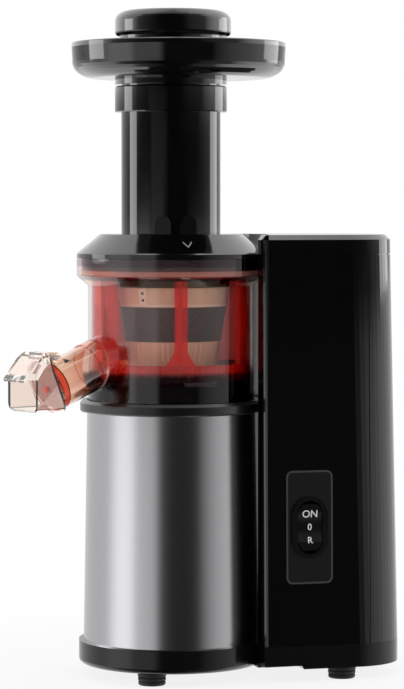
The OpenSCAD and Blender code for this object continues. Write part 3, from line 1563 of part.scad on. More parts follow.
placed() hinge_pins();
placed() pulp_flap();
placed() lid();
placed() lid_seal();
placed() hopper_tray();
placed() pusher_body();
placed() pusher_cap();
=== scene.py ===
"""The looks of an upright slow juicer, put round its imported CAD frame."""

import json
import math

import bpy
from mathutils import Matrix, Vector


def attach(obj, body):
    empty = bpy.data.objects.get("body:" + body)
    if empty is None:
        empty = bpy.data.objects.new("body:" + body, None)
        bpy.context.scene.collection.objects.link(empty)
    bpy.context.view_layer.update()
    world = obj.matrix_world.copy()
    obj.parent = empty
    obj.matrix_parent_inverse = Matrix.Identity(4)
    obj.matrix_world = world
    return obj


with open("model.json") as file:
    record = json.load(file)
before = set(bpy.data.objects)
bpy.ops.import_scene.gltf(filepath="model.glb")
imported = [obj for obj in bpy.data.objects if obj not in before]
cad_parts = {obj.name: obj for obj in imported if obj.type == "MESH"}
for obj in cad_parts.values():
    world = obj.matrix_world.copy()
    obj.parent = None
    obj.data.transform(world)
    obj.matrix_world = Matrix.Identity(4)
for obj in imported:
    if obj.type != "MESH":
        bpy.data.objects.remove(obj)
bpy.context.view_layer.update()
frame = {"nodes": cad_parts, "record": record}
nodes = frame["nodes"]

MM = 0.001

# ---- places, in millimetres and degrees, in the row frame ----
AXIS = (-13.398, -8.057)  # the drive axis, which the sleeve, bowl and lid share
PANEL_X = 73  # middle of the switch panel, from the drive axis
PANEL_Z = 96
COLUMN_SIDE = 55.84  # the column's half width at the panel
SIDE_TILT = 0.904  # how far the column's sides lean in
VIEW_TURN = -16.0  # turn of the front view, from looking along +Y
FRONT = 270 + VIEW_TURN  # the same direction, counted round the drive axis from +X


def from_axis(x, y, z):
    """A point given from the drive axis in millimetres, in metres in the row frame."""
    return Vector(((AXIS[0] + x) * MM, (AXIS[1] + y) * MM, z * MM))


def put(name, data):
    """A new object in the scene that shows the data."""
    piece = bpy.data.objects.new(name, data)
    bpy.context.scene.collection.objects.link(piece)
    return piece


# ---- nodes and colours ----
def linear(hex_colour):
    """A linear RGBA colour from an sRGB hex value such as "#c8a078"."""
    parts = [int(hex_colour[i : i + 2], 16) / 255 for i in (1, 3, 5)]
    return (*[c / 12.92 if c <= 0.04045 else ((c + 0.055) / 1.055) ** 2.4 for c in parts], 1.0)


def add(tree, kind, inputs=None, stops=(), **settings):
    """Adds a node of a kind with its settings, links or fills its inputs, and gives a colour ramp its
    stops, each a place from 0 to 1 and a linear colour."""
    node = tree.nodes.new("ShaderNode" + kind)
    for name, value in settings.items():
        setattr(node, name, value)
    for name, value in (inputs or {}).items():
        if isinstance(value, bpy.types.NodeSocket):
            tree.links.new(value, node.inputs[name])
        else:
            node.inputs[name].default_value = value
    if stops:
        points = node.color_ramp.elements
        while len(points) < len(stops):
            points.new(0.5)
        for point, (place, colour) in zip(points, stops):
            point.position = place
            point.color = colour
    return node


def shader(name, colour, **values):
    """A material with a Principled shader whose constant values sit on its own sockets."""
    material = bpy.data.materials.new(name)
    material.use_nodes = True
    tree = material.node_tree
    main = tree.nodes["Principled BSDF"]
    main.inputs["Base Color"].default_value = linear(colour)
    for key, value in values.items():
        main.inputs[key.replace("_", " ")].default_value = value
    return material, tree, main


def show(tree, surface):
    """Makes a shader the one that its material shows."""
    tree.links.new(surface, tree.nodes["Material Output"].inputs["Surface"])


def grain(tree, size_mm, stretch=(1, 1, 1), detail=2.0):
    """Noise on the object's own coordinates, whose grains are size_mm across. A stretch under 1 draws
    them longer that way."""
    place = add(tree, "TexCoord").outputs["Object"]
    spread = add(tree, "Mapping", {"Vector": place, "Scale": stretch}).outputs["Vector"]
    noise = add(tree, "TexNoise", {"Vector": spread, "Scale": 1 / (size_mm * MM), "Detail": detail})
    return noise.outputs["Fac"]


def skin(tree, main, shades=None, dull=None, relief=None):
    """Lets patterns drive a surface. shades is a pattern and the two near colours it drifts between,
    dull is a pattern with the least and most roughness, and relief is a pattern with its depth in
    millimetres."""
    if shades:
        pattern, dark, light = shades
        mix = add(tree, "MixRGB", {"Fac": pattern, "Color1": linear(dark), "Color2": linear(light)})
        tree.links.new(mix.outputs["Color"], main.inputs["Base Color"])
    if dull:
        pattern, least, most = dull
        spread = add(tree, "MapRange", {"Value": pattern, "To Min": least, "To Max": most})
        tree.links.new(spread.outputs["Result"], main.inputs["Roughness"])
    if relief:
        pattern, depth_mm = relief
        bump = add(tree, "Bump", {"Height": pattern, "Distance": depth_mm * MM, "Strength": 1.0})
        tree.links.new(bump.outputs["Normal"], main.inputs["Normal"])


# ---- plastics and rubbers ----
def moulded_plastic(name, dark, light, rough=(0.2, 0.3), spec=0.5):
    """Injection-moulded plastic from a polished mould. Slow flow waves, 6 mm from one to the next, make
    its reflections swim a little, and patches 14 mm wide are a touch duller."""
    material, tree, main = shader(name, dark, IOR=1.5, Specular_IOR_Level=spec)
    flow = grain(tree, 6.0)
    skin(tree, main, (flow, dark, light), (grain(tree, 14.0), *rough), (flow, 0.004))
    return material


def satin_plastic(name, dark, light, rough=(0.42, 0.55)):
    """Plastic or pressed powder from a spark-eroded mould: light spreads over it without a reflection.
    The real pits are about 0.1 mm wide, and they are drawn at 0.35 mm so that they show."""
    material, tree, main = shader(name, dark, IOR=1.5)
    pits = grain(tree, 0.35, detail=3.0)
    skin(tree, main, (pits, dark, light), (pits, *rough), (pits, 0.02))
    return material


def moulded_rubber(name, dark, light):
    """Moulded rubber or soft PVC: matt, with patches of dusty bloom 1.6 mm wide. Its fine grain is
    drawn at 0.4 mm, coarser than it is, so that it shows."""
    material, tree, main = shader(name, dark, IOR=1.52)
    bloom = grain(tree, 1.6, detail=4.0)
    skin(tree, main, (bloom, dark, light), (bloom, 0.6, 0.85), (grain(tree, 0.4), 0.02))
    return material


def silicone(name, dark, light):
    """Moulded silicone: a soft sheen, and light that sinks in and softens its edges. Its haze lies in
    clouds 3 mm wide, and its fine grain is drawn at 0.7 mm, coarser than it is."""
    material, tree, main = shader(
        name, dark, IOR=1.41, Subsurface_Weight=0.25, Subsurface_Scale=2 * MM
    )
    haze = grain(tree, 3.0)
    skin(tree, main, (haze, dark, light), (haze, 0.28, 0.4), (grain(tree, 0.7), 0.004))
    return material


def translucent(name, dark, light, clear, share, rough=(0.2, 0.3)):
    """Translucent moulding: a coloured body that lets a share of the light straight through, tinted
    clear, so that what is behind it shows as if through a filter."""
    material, tree, main = shader(name, dark, IOR=1.5)
    flow = grain(tree, 6.0)
    skin(tree, main, (flow, dark, light), (flow, *rough))
    straight = add(tree, "BsdfTransparent", {"Color": linear(clear)}).outputs["BSDF"]
    mix = add(tree, "MixShader", {0: share, 1: main.outputs["BSDF"], 2: straight})
    show(tree, mix.outputs["Shader"])
    return material


def resin_bands():
    """Heat-proof cream resin, glowing a little inside, with faint flow streaks 5 mm wide that run down
    the bands."""
    material, tree, main = shader(
        "amber_resin_moulded", "#d0b694", IOR=1.57, Subsurface_Weight=0.2, Subsurface_Scale=3 * MM
    )
    streak = grain(tree, 5.0, stretch=(1, 1, 0.3), detail=4.0)
    skin(
        tree, main, (streak, "#ccb08e", "#e2caa8"), (streak, 0.25, 0.4), (grain(tree, 1.0), 0.006)
    )
    return material


def circuit_board():
    """Glass-epoxy board and its parts: green lacquer, with the 0.8 mm weave faintly under it."""
    material, tree, main = shader("glass_epoxy_lacquered", "#1c4a2e", IOR=1.5)
    weave = grain(tree, 0.8)
    skin(tree, main, (weave, "#173d26", "#2b6440"), (weave, 0.3, 0.5), (weave, 0.03))
    return material


def printed_ink(name, dark, light):
    """Pad-printed ink: flat and chalky on the gloss round it. Its specks are drawn at 0.3 mm, coarser
    than they are."""
    material, tree, main = shader(name, dark, IOR=1.5)
    speck = grain(tree, 0.3)
    skin(tree, main, (speck, dark, light), (speck, 0.5, 0.7))
    return material


# ---- clear plastics ----
CLEAR_ROUGH = 0.03
BOWL_CLEAR = "#f2dccb"
SPOUT_ROOT = "#d99a82"  # the spout takes up the red of what stands behind its root
CAP_CLEAR = "#f7ece4"
BOWL_R = 60  # outside of the bowl's wall, from the drive axis
WALL_EDGE = 0.5  # the thin wall turns into thick plastic over this much on each side of BOWL_R
ROOT_END_R = 84  # where the spout is its own colour again

# tint of the bowl's wall by height, with painted shade in it: its dark foot is painted shade where the
# skirt stands over the black hub, its brown band in the flare is painted shade under the rim, and the
# rim is mauve
BOWL_TINT_AND_SHADE = [
    # the stops at 185 and 189 and the band from 248.2 to 249.4 are painted shade
    (185, "#8f858c"), (189, "#958b92"), (192, "#f5eded"), (243, "#f7f0f0"),
    (245, "#eddccb"), (247.6, "#eddccb"), (248.2, "#a59c9c"), (249.4, "#a59c9c"),
    (250.2, "#f3e6e4"), (255.5, "#f3e6e4"), (257, "#d6c8cd"), (262, "#d6c8cd"),
]


def clear_plastic(name, colour):
    """Clear moulded copolyester: a hard gloss, and a slow wave that bends what is behind it."""
    material, tree, main = shader(
        name, colour, IOR=1.54, Roughness=CLEAR_ROUGH, Transmission_Weight=1.0
    )
    skin(tree, main, relief=(grain(tree, 9.0), 0.01))
    return material, tree, main


def show_lit_inside(tree, body, colour):
    """Shows a clear body, and lets the lamps' light straight through it to what stands inside, which
    would be left in the dark."""
    shadow = add(tree, "LightPath").outputs["Is Shadow Ray"]
    through = add(tree, "BsdfTransparent", {"Color": linear(colour)}).outputs["BSDF"]
    mix = add(tree, "MixShader", {0: shadow, 1: body, 2: through})
    show(tree, mix.outputs["Shader"])


def clear_cap():
    """Clear copolyester in a solid block: it shifts and bends what is behind it, with sharp glints."""
    material, tree, main = clear_plastic("copolyester_clear", CAP_CLEAR)
    show_lit_inside(tree, main.outputs["BSDF"], CAP_CLEAR)
    return material


def bowl_wall(tree, place):
    """The bowl's thin wall: what is behind it shows in its place through the wall's tint, which holds
    painted shade at its foot and under the rim, under a gloss that is 4% head on and all of it edge on,
    the same on both faces."""
    low = BOWL_TINT_AND_SHADE[0][0]
    high = BOWL_TINT_AND_SHADE[-1][0]
    height = add(tree, "SeparateXYZ", {"Vector": place}).outputs["Z"]
    level = add(tree, "MapRange", {"Value": height, "From Min": low * MM, "From Max": high * MM})
    stops = [((z - low) / (high - low), linear(colour)) for z, colour in BOWL_TINT_AND_SHADE]
    # this ramp holds the wall's tint and its painted shade
    tint_and_shade = add(tree, "ValToRGB", {"Fac": level.outputs["Result"]}, stops)
    straight = add(
        tree, "BsdfRefraction", {"Color": tint_and_shade.outputs["Color"], "Roughness": 0.0, "IOR": 1.0}
    )
    facing = add(tree, "LayerWeight", {"Blend": 0.5}).outputs["Facing"]
    steep = add(tree, "Math", {0: facing, 1: 5.0}, operation="POWER").outputs["Value"]
    share = add(tree, "MapRange", {"Value": steep, "To Min": 0.04, "To Max": 1.0})
    gloss = add(tree, "BsdfGlossy", {"Roughness": CLEAR_ROUGH})
    mix = add(
        tree,
        "MixShader",
        {0: share.outputs["Result"], 1: straight.outputs["BSDF"], 2: gloss.outputs["BSDF"]},
    )
    return mix.outputs["Shader"]


def clear_bowl():
    """Clear copolyester, whose thin wall shows what stands in the bowl in its place. The thick spout
    outside it bends what is behind, and is warmer at its root."""
    material, tree, main = clear_plastic("copolyester_clear_smoke", BOWL_CLEAR)
    place = add(tree, "TexCoord").outputs["Object"]
    centred = add(tree, "Mapping", {"Vector": place, "Location": -from_axis(0, 0, 0)})
    flat = add(
        tree, "VectorMath", {0: centred.outputs["Vector"], 1: (1, 1, 0)}, operation="MULTIPLY"
    )
    out = add(tree, "VectorMath", {0: flat.outputs["Vector"]}, operation="LENGTH").outputs["Value"]
    thick = add(
        tree,
        "MapRange",
        {"Value": out, "From Min": (BOWL_R - WALL_EDGE) * MM, "From Max": (BOWL_R + WALL_EDGE) * MM},
    )
    away = add(
        tree, "MapRange", {"Value": out, "From Min": BOWL_R * MM, "From Max": ROOT_END_R * MM}
    )
    skin(tree, main, shades=(away.outputs["Result"], SPOUT_ROOT, BOWL_CLEAR))
    body = add(
        tree,
        "MixShader",
        {0: thick.outputs["Result"], 1: bowl_wall(tree, place), 2: main.outputs["BSDF"]},
    )
    show_lit_inside(tree, body.outputs["Shader"], BOWL_CLEAR)
    return material


# ---- metals ----
def turned_metal(name, dark, light, rough=(0.25, 0.4), line_mm=0.25):
    """Turned, ground or rolled metal: fine lines round it draw its highlights out into soft streaks.
    Real tool marks are about 0.1 mm apart, and they are drawn at 0.25 mm so that they show."""
    material, tree, main = shader(name, dark, Metallic=1.0)
    lines = grain(tree, line_mm, stretch=(0.05, 0.05, 1.0))
    skin(tree, main, (lines, dark, light), (lines, *rough), (lines, 0.003))
    return material


def cast_metal(name, dark, light):
    """Die-cast or sintered metal: an orange-peel skin, 1.2 mm across, breaks its shine into soft
    patches."""
    material, tree, main = shader(name, dark, Metallic=1.0)
    peel = grain(tree, 1.2, detail=4.0)
    skin(tree, main, (peel, dark, light), (peel, 0.4, 0.6), (peel, 0.05))
    return material


def brushed_sleeve():
    """Stainless sheet brushed round the cylinder: its highlights stand as upright bands with soft
    edges. The real scratches are about 0.05 mm wide, and they are drawn 0.25 mm wide and a third of a
    radian long."""
    material, tree, main = shader(
        "stainless_steel_brushed", "#a4a4a6", Metallic=1.0, Anisotropic=0.75
    )
    place = add(tree, "TexCoord").outputs["Object"]
    centred = add(tree, "Mapping", {"Vector": place, "Location": -from_axis(0, 0, 0)})
    split = add(tree, "SeparateXYZ", {"Vector": centred.outputs["Vector"]}).outputs
    angle = add(tree, "Math", {0: split["Y"], 1: split["X"]}, operation="ARCTAN2").outputs["Value"]
    sheet = add(tree, "CombineXYZ", {"X": angle, "Z": split["Z"]}).outputs["Vector"]
    spread = add(tree, "Mapping", {"Vector": sheet, "Scale": (3.0, 1.0, 1 / (0.25 * MM))})
    scratch = add(
        tree, "TexNoise", {"Vector": spread.outputs["Vector"], "Scale": 1.0, "Detail": 2.0}
    ).outputs["Fac"]
    skin(tree, main, (scratch, "#a0a0a2", "#aaaaac"), (scratch, 0.16, 0.22), (scratch, 0.0006))
    tangent = add(tree, "Tangent", direction_type="RADIAL", axis="Z").outputs["Tangent"]
    tree.links.new(tangent, main.inputs["Tangent"])
    return material


def etched_screen():
    """Etched steel screen: its holes are drawn dark, painted shade for the dim inside seen through
    them, in a web that is a little lighter and shinier. The real holes are 0.3 mm apart, and they are
    drawn 0.9 mm apart so that they show."""
    material, tree, main = shader("steel_screen_etched", "#2c2826", Metallic=0.6)
    place = add(tree, "TexCoord").outputs["Object"]
    cells = add(tree, "TexVoronoi", {"Vector": place, "Scale": 1 / (0.9 * MM), "Randomness": 0.0})
    web = add(tree, "MapRange", {"Value": cells.outputs["Distance"], "To Max": 1.6}).outputs["Result"]
    skin(tree, main, (web, "#120f0e", "#4a4340"), (web, 0.6, 0.35), (web, 0.15))
    return material


def enamelled_wire():
    """Enamelled copper wire wound side by side: warm ridges 0.5 mm apart, each with its own glint."""
    material, tree, main = shader("copper_wire_enamelled", "#b0622c", Metallic=0.9)
    ridge = grain(tree, 0.5, stretch=(0.3, 0.3, 1.0))
    skin(tree, main, (ridge, "#8a4317", "#cf7c3f"), (ridge, 0.25, 0.5), (ridge, 0.2))
    return material


# ---- which finish each piece has, by its slot ----
FINISH = {
    # deep black, with broad and rather dim reflections low down
    "base_plastic": moulded_plastic("abs_black_base", "#0a0a0b", "#101012", (0.14, 0.22), spec=0.3),
    # charcoal and matt, so that the feet drop back under the base
    "foot_rubber": moulded_rubber("rubber_black_moulded", "#1b1b1c", "#2b2b2c"),
    # pale bluish steel
    "zinc_screw": turned_metal("steel_zinc_plated", "#8f9296", "#b9bbbe"),
    # dark gray and dull, as the inside of a housing is
    "inner_plastic": satin_plastic("nylon_glass_filled", "#1c1c1e", "#29292b"),
    "brushed_sleeve": brushed_sleeve(),
    # black, duller than the column beside it
    "deck_plastic": moulded_plastic("abs_black_deck", "#0b0b0c", "#121214", (0.24, 0.34)),
    # strong red with a soft sheen
    "red_silicone": silicone("silicone_red_moulded", "#a81c12", "#c82a1a"),
    # black as a mirror, which shows the room
    "column_gloss": moulded_plastic(
        "abs_piano_black_polished", "#050506", "#08080a", (0.07, 0.12)
    ),
    # black without a mirror image, so that the panel stands out from the gloss round it
    "panel_black": satin_plastic("abs_black_satin", "#08080a", "#0e0e10", (0.3, 0.4)),
    # thin gray line with a soft shine
    "panel_silver": turned_metal("aluminium_foil_stamped", "#77787b", "#8d8e91", (0.3, 0.4)),
    # black with a soft gleam over the dished face
    "switch_gloss": moulded_plastic("nylon_black_switch", "#0a0a0b", "#111113", (0.14, 0.22)),
    "circuit_board": circuit_board(),
    # black and matt
    "gland_rubber": moulded_rubber("pvc_black_moulded", "#151516", "#222223"),
    # plain gray can with a dull shine
    "motor_steel": turned_metal("steel_deep_drawn", "#83868a", "#a2a5a8"),
    # light gray, with a skin like orange peel
    "cast_alloy": cast_metal("zinc_alloy_die_cast", "#8b8c8e", "#a9aaac"),
    # charcoal, like fired clay
    "ferrite": satin_plastic("ferrite_sintered", "#2a2a2c", "#3a3a3d"),
    # bright and almost mirror-like
    "bearing_steel": turned_metal("bearing_steel_ground", "#a5a8ab", "#c9cbcd", (0.12, 0.22)),
    # soot black and quite dull
    "carbon": satin_plastic("carbon_pressed", "#1a1a1a", "#2a2a2a", (0.5, 0.7)),
    # light steel with fine rings
    "machined_steel": turned_metal("stainless_steel_turned", "#9b9c9e", "#c0c1c3"),
    # darker steel, in sheets 0.5 mm thick that show as lines
    "laminated_steel": turned_metal("electrical_steel_stacked", "#55585c", "#7b7e82", line_mm=0.5),
    "copper": enamelled_wire(),
    # warm gray, with the dull bloom of pressed powder
    "gear_steel": cast_metal("steel_sintered", "#6f6b64", "#8d8980"),
    # milky white with little shine
    "white_nylon": moulded_plastic("acetal_white_moulded", "#d8d5cc", "#e6e3da", (0.35, 0.45)),
    "clear_bowl": clear_bowl(),
    # red glow, through which the bands behind it show
    "red_frame": translucent(
        "pp_red_translucent", "#c80e02", "#d81a08", clear="#ffa488", share=0.7
    ),
    "amber_resin": resin_bands(),
    "steel_mesh": etched_screen(),
    # brown resin with a soft gloss on its flights
    "auger_resin": moulded_plastic("pei_resin_moulded", "#4c3d33", "#5d4b3f", (0.25, 0.35)),
    "clear_cap": clear_cap(),
    # bright orange with a soft sheen
    "orange_silicone": silicone("silicone_orange_moulded", "#dc3c1c", "#ea5126"),
    # black as a mirror
    "lid_gloss": moulded_plastic("abs_black_lid", "#060607", "#0a0a0c", (0.06, 0.1)),
    # milky and soft, so that what is behind it is only hinted at
    "white_silicone": translucent(
        "silicone_milky_moulded", "#d9cfca", "#e6dcd6", clear="#fff4f0", share=0.8, rough=(0.35, 0.5)
    ),
    # black as a mirror
    "tray_gloss": moulded_plastic("abs_black_tray", "#060607", "#0a0a0c", (0.06, 0.1)),
    # black as a mirror, a trace hazier than the tray
    "pusher_gloss": moulded_plastic("abs_black_pusher", "#060607", "#0a0a0c", (0.06, 0.11)),
}

for part in frame["record"]["subparts"]:
    slots = nodes[part["node"]].data.materials
    slots.clear()
    slots.append(FINISH[part["material_slot"]])


# ---- words printed on the rocker ----
WHITE_INK = printed_ink("ink_white_printed", "#cfcfcf", "#e4e4e4")
INK_RISE = 0.1  # mm that the ink stands proud
STROKE_GROWTH = 0.06  # mm that each stroke is widened by on both sides
DISH_R = 46.5  # radius of the rocker's dished face
DISH_FLOOR = 0.7  # height of the dish's middle over the panel


def letter(name, text, size_mm, up_mm):
    """Prints a word on the rocker's dished face, up_mm over its middle."""
    words = bpy.data.curves.new(name, "FONT")
    words.body = text
    words.align_x = "CENTER"
    words.align_y = "CENTER"
    words.size = size_mm * MM
    words.extrude = INK_RISE * MM
    words.offset = STROKE_GROWTH * MM
    words.materials.append(WHITE_INK)
    piece = put(name, words)
    slope = math.asin(up_mm / DISH_R)
    out = DISH_FLOOR + DISH_R * (1 - math.cos(slope)) + INK_RISE
    piece.matrix_world = (
        Matrix.Translation(from_axis(PANEL_X, -COLUMN_SIDE, PANEL_Z))
        @ Matrix.Rotation(math.radians(90 - SIDE_TILT), 4, "X")
        @ Matrix.Translation((0, up_mm * MM, out * MM))
        @ Matrix.Rotation(slope, 4, "X")
    )
    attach(piece, "rocker")


letter("mark_on", "ON", size_mm=6.4, up_mm=8.1)
letter("mark_zero", "0", size_mm=5.6, up_mm=0.0)
letter("mark_r", "R", size_mm=5.6, up_mm=-8.1)


# ---- thin trim on the strainer and the lid ----
# a cone is the height and radius of its lowest and highest ring, from the drive axis
STRAINER = ((194.8, 28.5), (243.4, 36.5))
LID_CONE = ((265.0, 58.2), (276.3, 44.5))
LID_LEAN = math.atan2(LID_CONE[0][1] - LID_CONE[1][1], LID_CONE[1][0] - LID_CONE[0][0])  # faces up
SUNK = 0.15  # mm that the back of a plate goes into the wall under it


def cone_r(cone, z):
    """A cone's radius at a height."""
    (z0, r0), (z1, r1) = cone
    return r0 + (r1 - r0) * (z - z0) / (z1 - z0)


def trim(name, verts, faces, material, body):
    """A small mesh piece that rides on a body."""
    mesh = bpy.data.meshes.new(name)
    mesh.from_pydata(verts, [], faces)
    mesh.materials.append(material)
    piece = put(name, mesh)
    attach(piece, body)
    return mesh


def bent_plate(name, cone, outline, rise_mm, material, body, lean=0.0):
    """A plate bent round a cone, from an outline in turns and heights. It rises off the wall in a
    direction that leans up by an angle."""
    count = len(outline)
    verts = []
    for rise in (-SUNK, rise_mm):
        for turn, z in outline:
            a = math.radians(turn)
            r = cone_r(cone, z) + rise * math.cos(lean)
            verts.append(from_axis(r * math.cos(a), r * math.sin(a), z + rise * math.sin(lean)))
    faces = [tuple(range(count - 1, -1, -1)), tuple(range(count, 2 * count))]
    faces += [(i, (i + 1) % count, count + (i + 1) % count, count + i) for i in range(count)]
    trim(name, verts, faces, material, body)


def strainer_patch(name, turn, wide_mm, foot, head, rise_mm, material, steps=2):
    """A raised strip of the strainer's wall, centred on a turn, from one height to another."""
    half = math.degrees(wide_mm / 2 / cone_r(STRAINER, (foot + head) / 2))
    low = [(turn - half + 2 * half * i / steps, foot) for i in range(steps + 1)]
    high = [(a, head) for a, _ in reversed(low)]
    bent_plate(name, STRAINER, low + high, rise_mm, material, "bowl")


def turned_ring(name, profile, material, body, steps=120):
    """A closed profile of radii and heights, turned round the drive axis."""
    count = len(profile)
    verts = [
        from_axis(r * math.cos(math.tau * i / steps), r * math.sin(math.tau * i / steps), z)
        for i in range(steps)
        for r, z in profile
    ]
    faces = []
    for i in range(steps):
        here = i * count
        beside = (i + 1) % steps * count
        for k in range(count):
            over = (k + 1) % count
            faces.append((here + k, beside + k, beside + over, here + over))
    trim(name, verts, faces, material, body).shade_smooth()


# cream, paler than the bands, as thin resin is, with a painted highlight on top, as on an edge that
# catches the light
PALE_RESIN_HIGHLIGHT = moulded_plastic("resin_pale_painted_highlight", "#e6d3b8", "#f0e0c8", (0.3, 0.4))
# painted shade: brown black plates that stand for the dim inside of small holes
HOLE_PAINTED_SHADE = satin_plastic("hole_shadow_resin", "#1d1410", "#2a1e18")

# pale tab high on the strainer, its paleness partly a painted highlight, with two holes in it drawn as
# plates of painted shade
TAB_TURN = FRONT - 28.5
strainer_patch(
    "strainer_tab",
    TAB_TURN, wide_mm=5.2, foot=232.6, head=243.0, rise_mm=0.3, material=PALE_RESIN_HIGHLIGHT, steps=6,
)
HOLE_HALF = 0.8
HOLE_RISE = 0.36  # just over the face of the tab
# each hole is a dark plate of painted shade laid over the tab
for number, z in enumerate((235.8, 240.0), 1):
    strainer_patch(
        f"strainer_hole_{number}",
        TAB_TURN, 2 * HOLE_HALF, z - HOLE_HALF, z + HOLE_HALF, HOLE_RISE, HOLE_PAINTED_SHADE,
    )

# five thin ribs low on the strainer, pale in part from a painted highlight, each with its turn from the
# front view and its width
RIBS = ((-41, 0.8), (-9, 0.9), (-3, 0.9), (30, 1.0), (37, 1.0))
RIB_FOOT = 197.5
RIB_HEAD = 208.5
RIB_RISE = 0.32
for number, (turn, wide) in enumerate(RIBS, 1):
    strainer_patch(
        f"strainer_rib_{number}", FRONT + turn, wide, RIB_FOOT, RIB_HEAD, RIB_RISE, PALE_RESIN_HIGHLIGHT
    )

# bead round the strainer under the tab, pale in part from a painted highlight line
BEAD_RISE = 0.35
BEAD_SUNK = 0.2  # mm that the bead's edges go into the wall
turned_ring(
    "strainer_bead",
    [
        (cone_r(STRAINER, 231.6) - BEAD_SUNK, 231.6),
        (cone_r(STRAINER, 231.6) + BEAD_RISE, 231.9),
        (cone_r(STRAINER, 233.2) + BEAD_RISE, 233.2),
        (cone_r(STRAINER, 233.6) - BEAD_SUNK, 233.6),
    ],
    PALE_RESIN_HIGHLIGHT, "bowl",
)

# open chevron printed on the lid's cone, to line up with the lock, as turns and heights
GRAY_INK = printed_ink("ink_gray_printed", "#8f8f8f", "#a2a2a2")
CHEVRON = FRONT + 12
CHEVRON_HALF = 3.2
CHEVRON_INK = 0.06  # mm that its ink stands proud
bent_plate(
    "mark_chevron",
    LID_CONE,
    [
        (CHEVRON - CHEVRON_HALF, 271.4), (CHEVRON, 268.4), (CHEVRON + CHEVRON_HALF, 271.4),
        (CHEVRON + CHEVRON_HALF, 272.2), (CHEVRON, 269.3), (CHEVRON - CHEVRON_HALF, 272.2),
    ],
    CHEVRON_INK, GRAY_INK, "lid_body", LID_LEAN,
)

# ---- studio floor ----
WHITE = linear("#ffffff")
FLOOR_R = 0.62  # metres
FLOOR_SIDES = 96
FADE_START = 0.1  # metres from the middle, where the floor's shadow is strongest
FADE_END = 0.6 * FLOOR_R
SHADOW_SHARE = 0.85  # how white the eye sees the floor under the object


def floor_paper():
    """Matt white paper, faintly uneven over 40 mm. It keeps the object's shadow near it and fades into
    the white room towards its edge. Mirrors don't see it, and show the room behind it."""
    material, tree, main = shader("paper_white_matt", "#f2f2f2", Roughness=0.9)
    skin(tree, main, shades=(grain(tree, 40.0), "#f0f0f0", "#f6f6f6"))
    spot = add(tree, "TexCoord").outputs["Object"]
    reach = add(tree, "VectorMath", {0: spot}, operation="LENGTH").outputs["Value"]
    fade = add(
        tree,
        "MapRange",
        {
            "Value": reach, "From Min": FADE_START, "From Max": FADE_END,
            "To Min": SHADOW_SHARE, "To Max": 1.0,
        },
        interpolation_type="SMOOTHSTEP",
    )
    path = add(tree, "LightPath").outputs
    looks = add(
        tree, "Math", {0: path["Is Camera Ray"], 1: path["Is Transmission Ray"]}, operation="MAXIMUM"
    )
    share = add(
        tree, "Math", {0: looks.outputs["Value"], 1: fade.outputs["Result"]}, operation="MULTIPLY"
    )
    white = add(tree, "Emission", {"Color": WHITE, "Strength": 1.0}).outputs["Emission"]
    sheet = add(tree, "MixShader", {0: share.outputs["Value"], 1: main.outputs["BSDF"], 2: white})
    beyond = add(tree, "BsdfTransparent").outputs["BSDF"]
    both = add(
        tree, "MixShader", {0: path["Is Glossy Ray"], 1: sheet.outputs["Shader"], 2: beyond}
    )
    show(tree, both.outputs["Shader"])
    return material


rim = [math.tau * i / FLOOR_SIDES for i in range(FLOOR_SIDES)]
floor_mesh = bpy.data.meshes.new("studio_floor")
floor_mesh.from_pydata(
    [(FLOOR_R * math.cos(a), FLOOR_R * math.sin(a), 0) for a in rim], [], [tuple(range(FLOOR_SIDES))]
)
floor_mesh.materials.append(floor_paper())
floor = put("studio_floor", floor_mesh)


# ---- camera ----
CAMERA_RISE = 2.81  # degrees over the horizon
CAMERA_DISTANCE = 1.792  # metres
AIM_SIDE = 19.4  # mm that it aims to the right of the drive axis
AIM_Z = 207.1
LENS = 149.45  # mm, on a sensor whose longer side is 36 mm


def compass(turn, rise=0.0):
    """Unit direction from the object towards a viewer who stands at that turn and rise."""
    a = math.radians(turn)
    e = math.radians(rise)
    return Vector((math.sin(a) * math.cos(e), -math.cos(a) * math.cos(e), math.sin(e)))


def look_at(piece, target):
    """Turns a camera or lamp towards a point."""
    piece.rotation_euler = (target - piece.location).to_track_quat("-Z", "Y").to_euler()


view = compass(VIEW_TURN)
aside = Vector((-view.y, view.x, 0))
aim = from_axis(0, 0, AIM_Z) + aside * AIM_SIDE * MM
camera = put("camera", bpy.data.cameras.new("camera"))
camera.data.lens = LENS
camera.data.sensor_width = 36.0
camera.location = aim + compass(VIEW_TURN, CAMERA_RISE) * CAMERA_DISTANCE
look_at(camera, aim)
bpy.context.scene.camera = camera


# ---- lamps ----
def softbox(name, turn, distance, wide, tall, height, aim_z, radiance):
    """A soft lamp panel, in metres, at a turn from the front view and aimed at a height on the drive
    axis. Its energy grows with its area, so that radiance is how bright the panel itself looks."""
    lamp = bpy.data.lights.new(name, "AREA")
    lamp.shape = "RECTANGLE"
    lamp.size = wide
    lamp.size_y = tall
    lamp.energy = radiance * math.pi * wide * tall
    piece = put(name, lamp)
    piece.location = from_axis(0, 0, height / MM) + compass(VIEW_TURN + turn) * distance
    look_at(piece, from_axis(0, 0, aim_z / MM))


# two strips stand a little behind the object, high enough to edge the chute, tray and cap
STRIP_AWAY = 1.5
STRIP_HEIGHT = 0.48
softbox("strip_left", -97, STRIP_AWAY, 0.62, 0.5, STRIP_HEIGHT, STRIP_HEIGHT, radiance=4.6)
softbox("strip_right", 118, STRIP_AWAY, 0.8, 0.5, STRIP_HEIGHT, STRIP_HEIGHT, radiance=3.2)
# one wide lamp hangs over the object
softbox("lamp_top", 0, distance=0.3, wide=1.0, tall=0.8, height=1.5, aim_z=0.2, radiance=1.0)


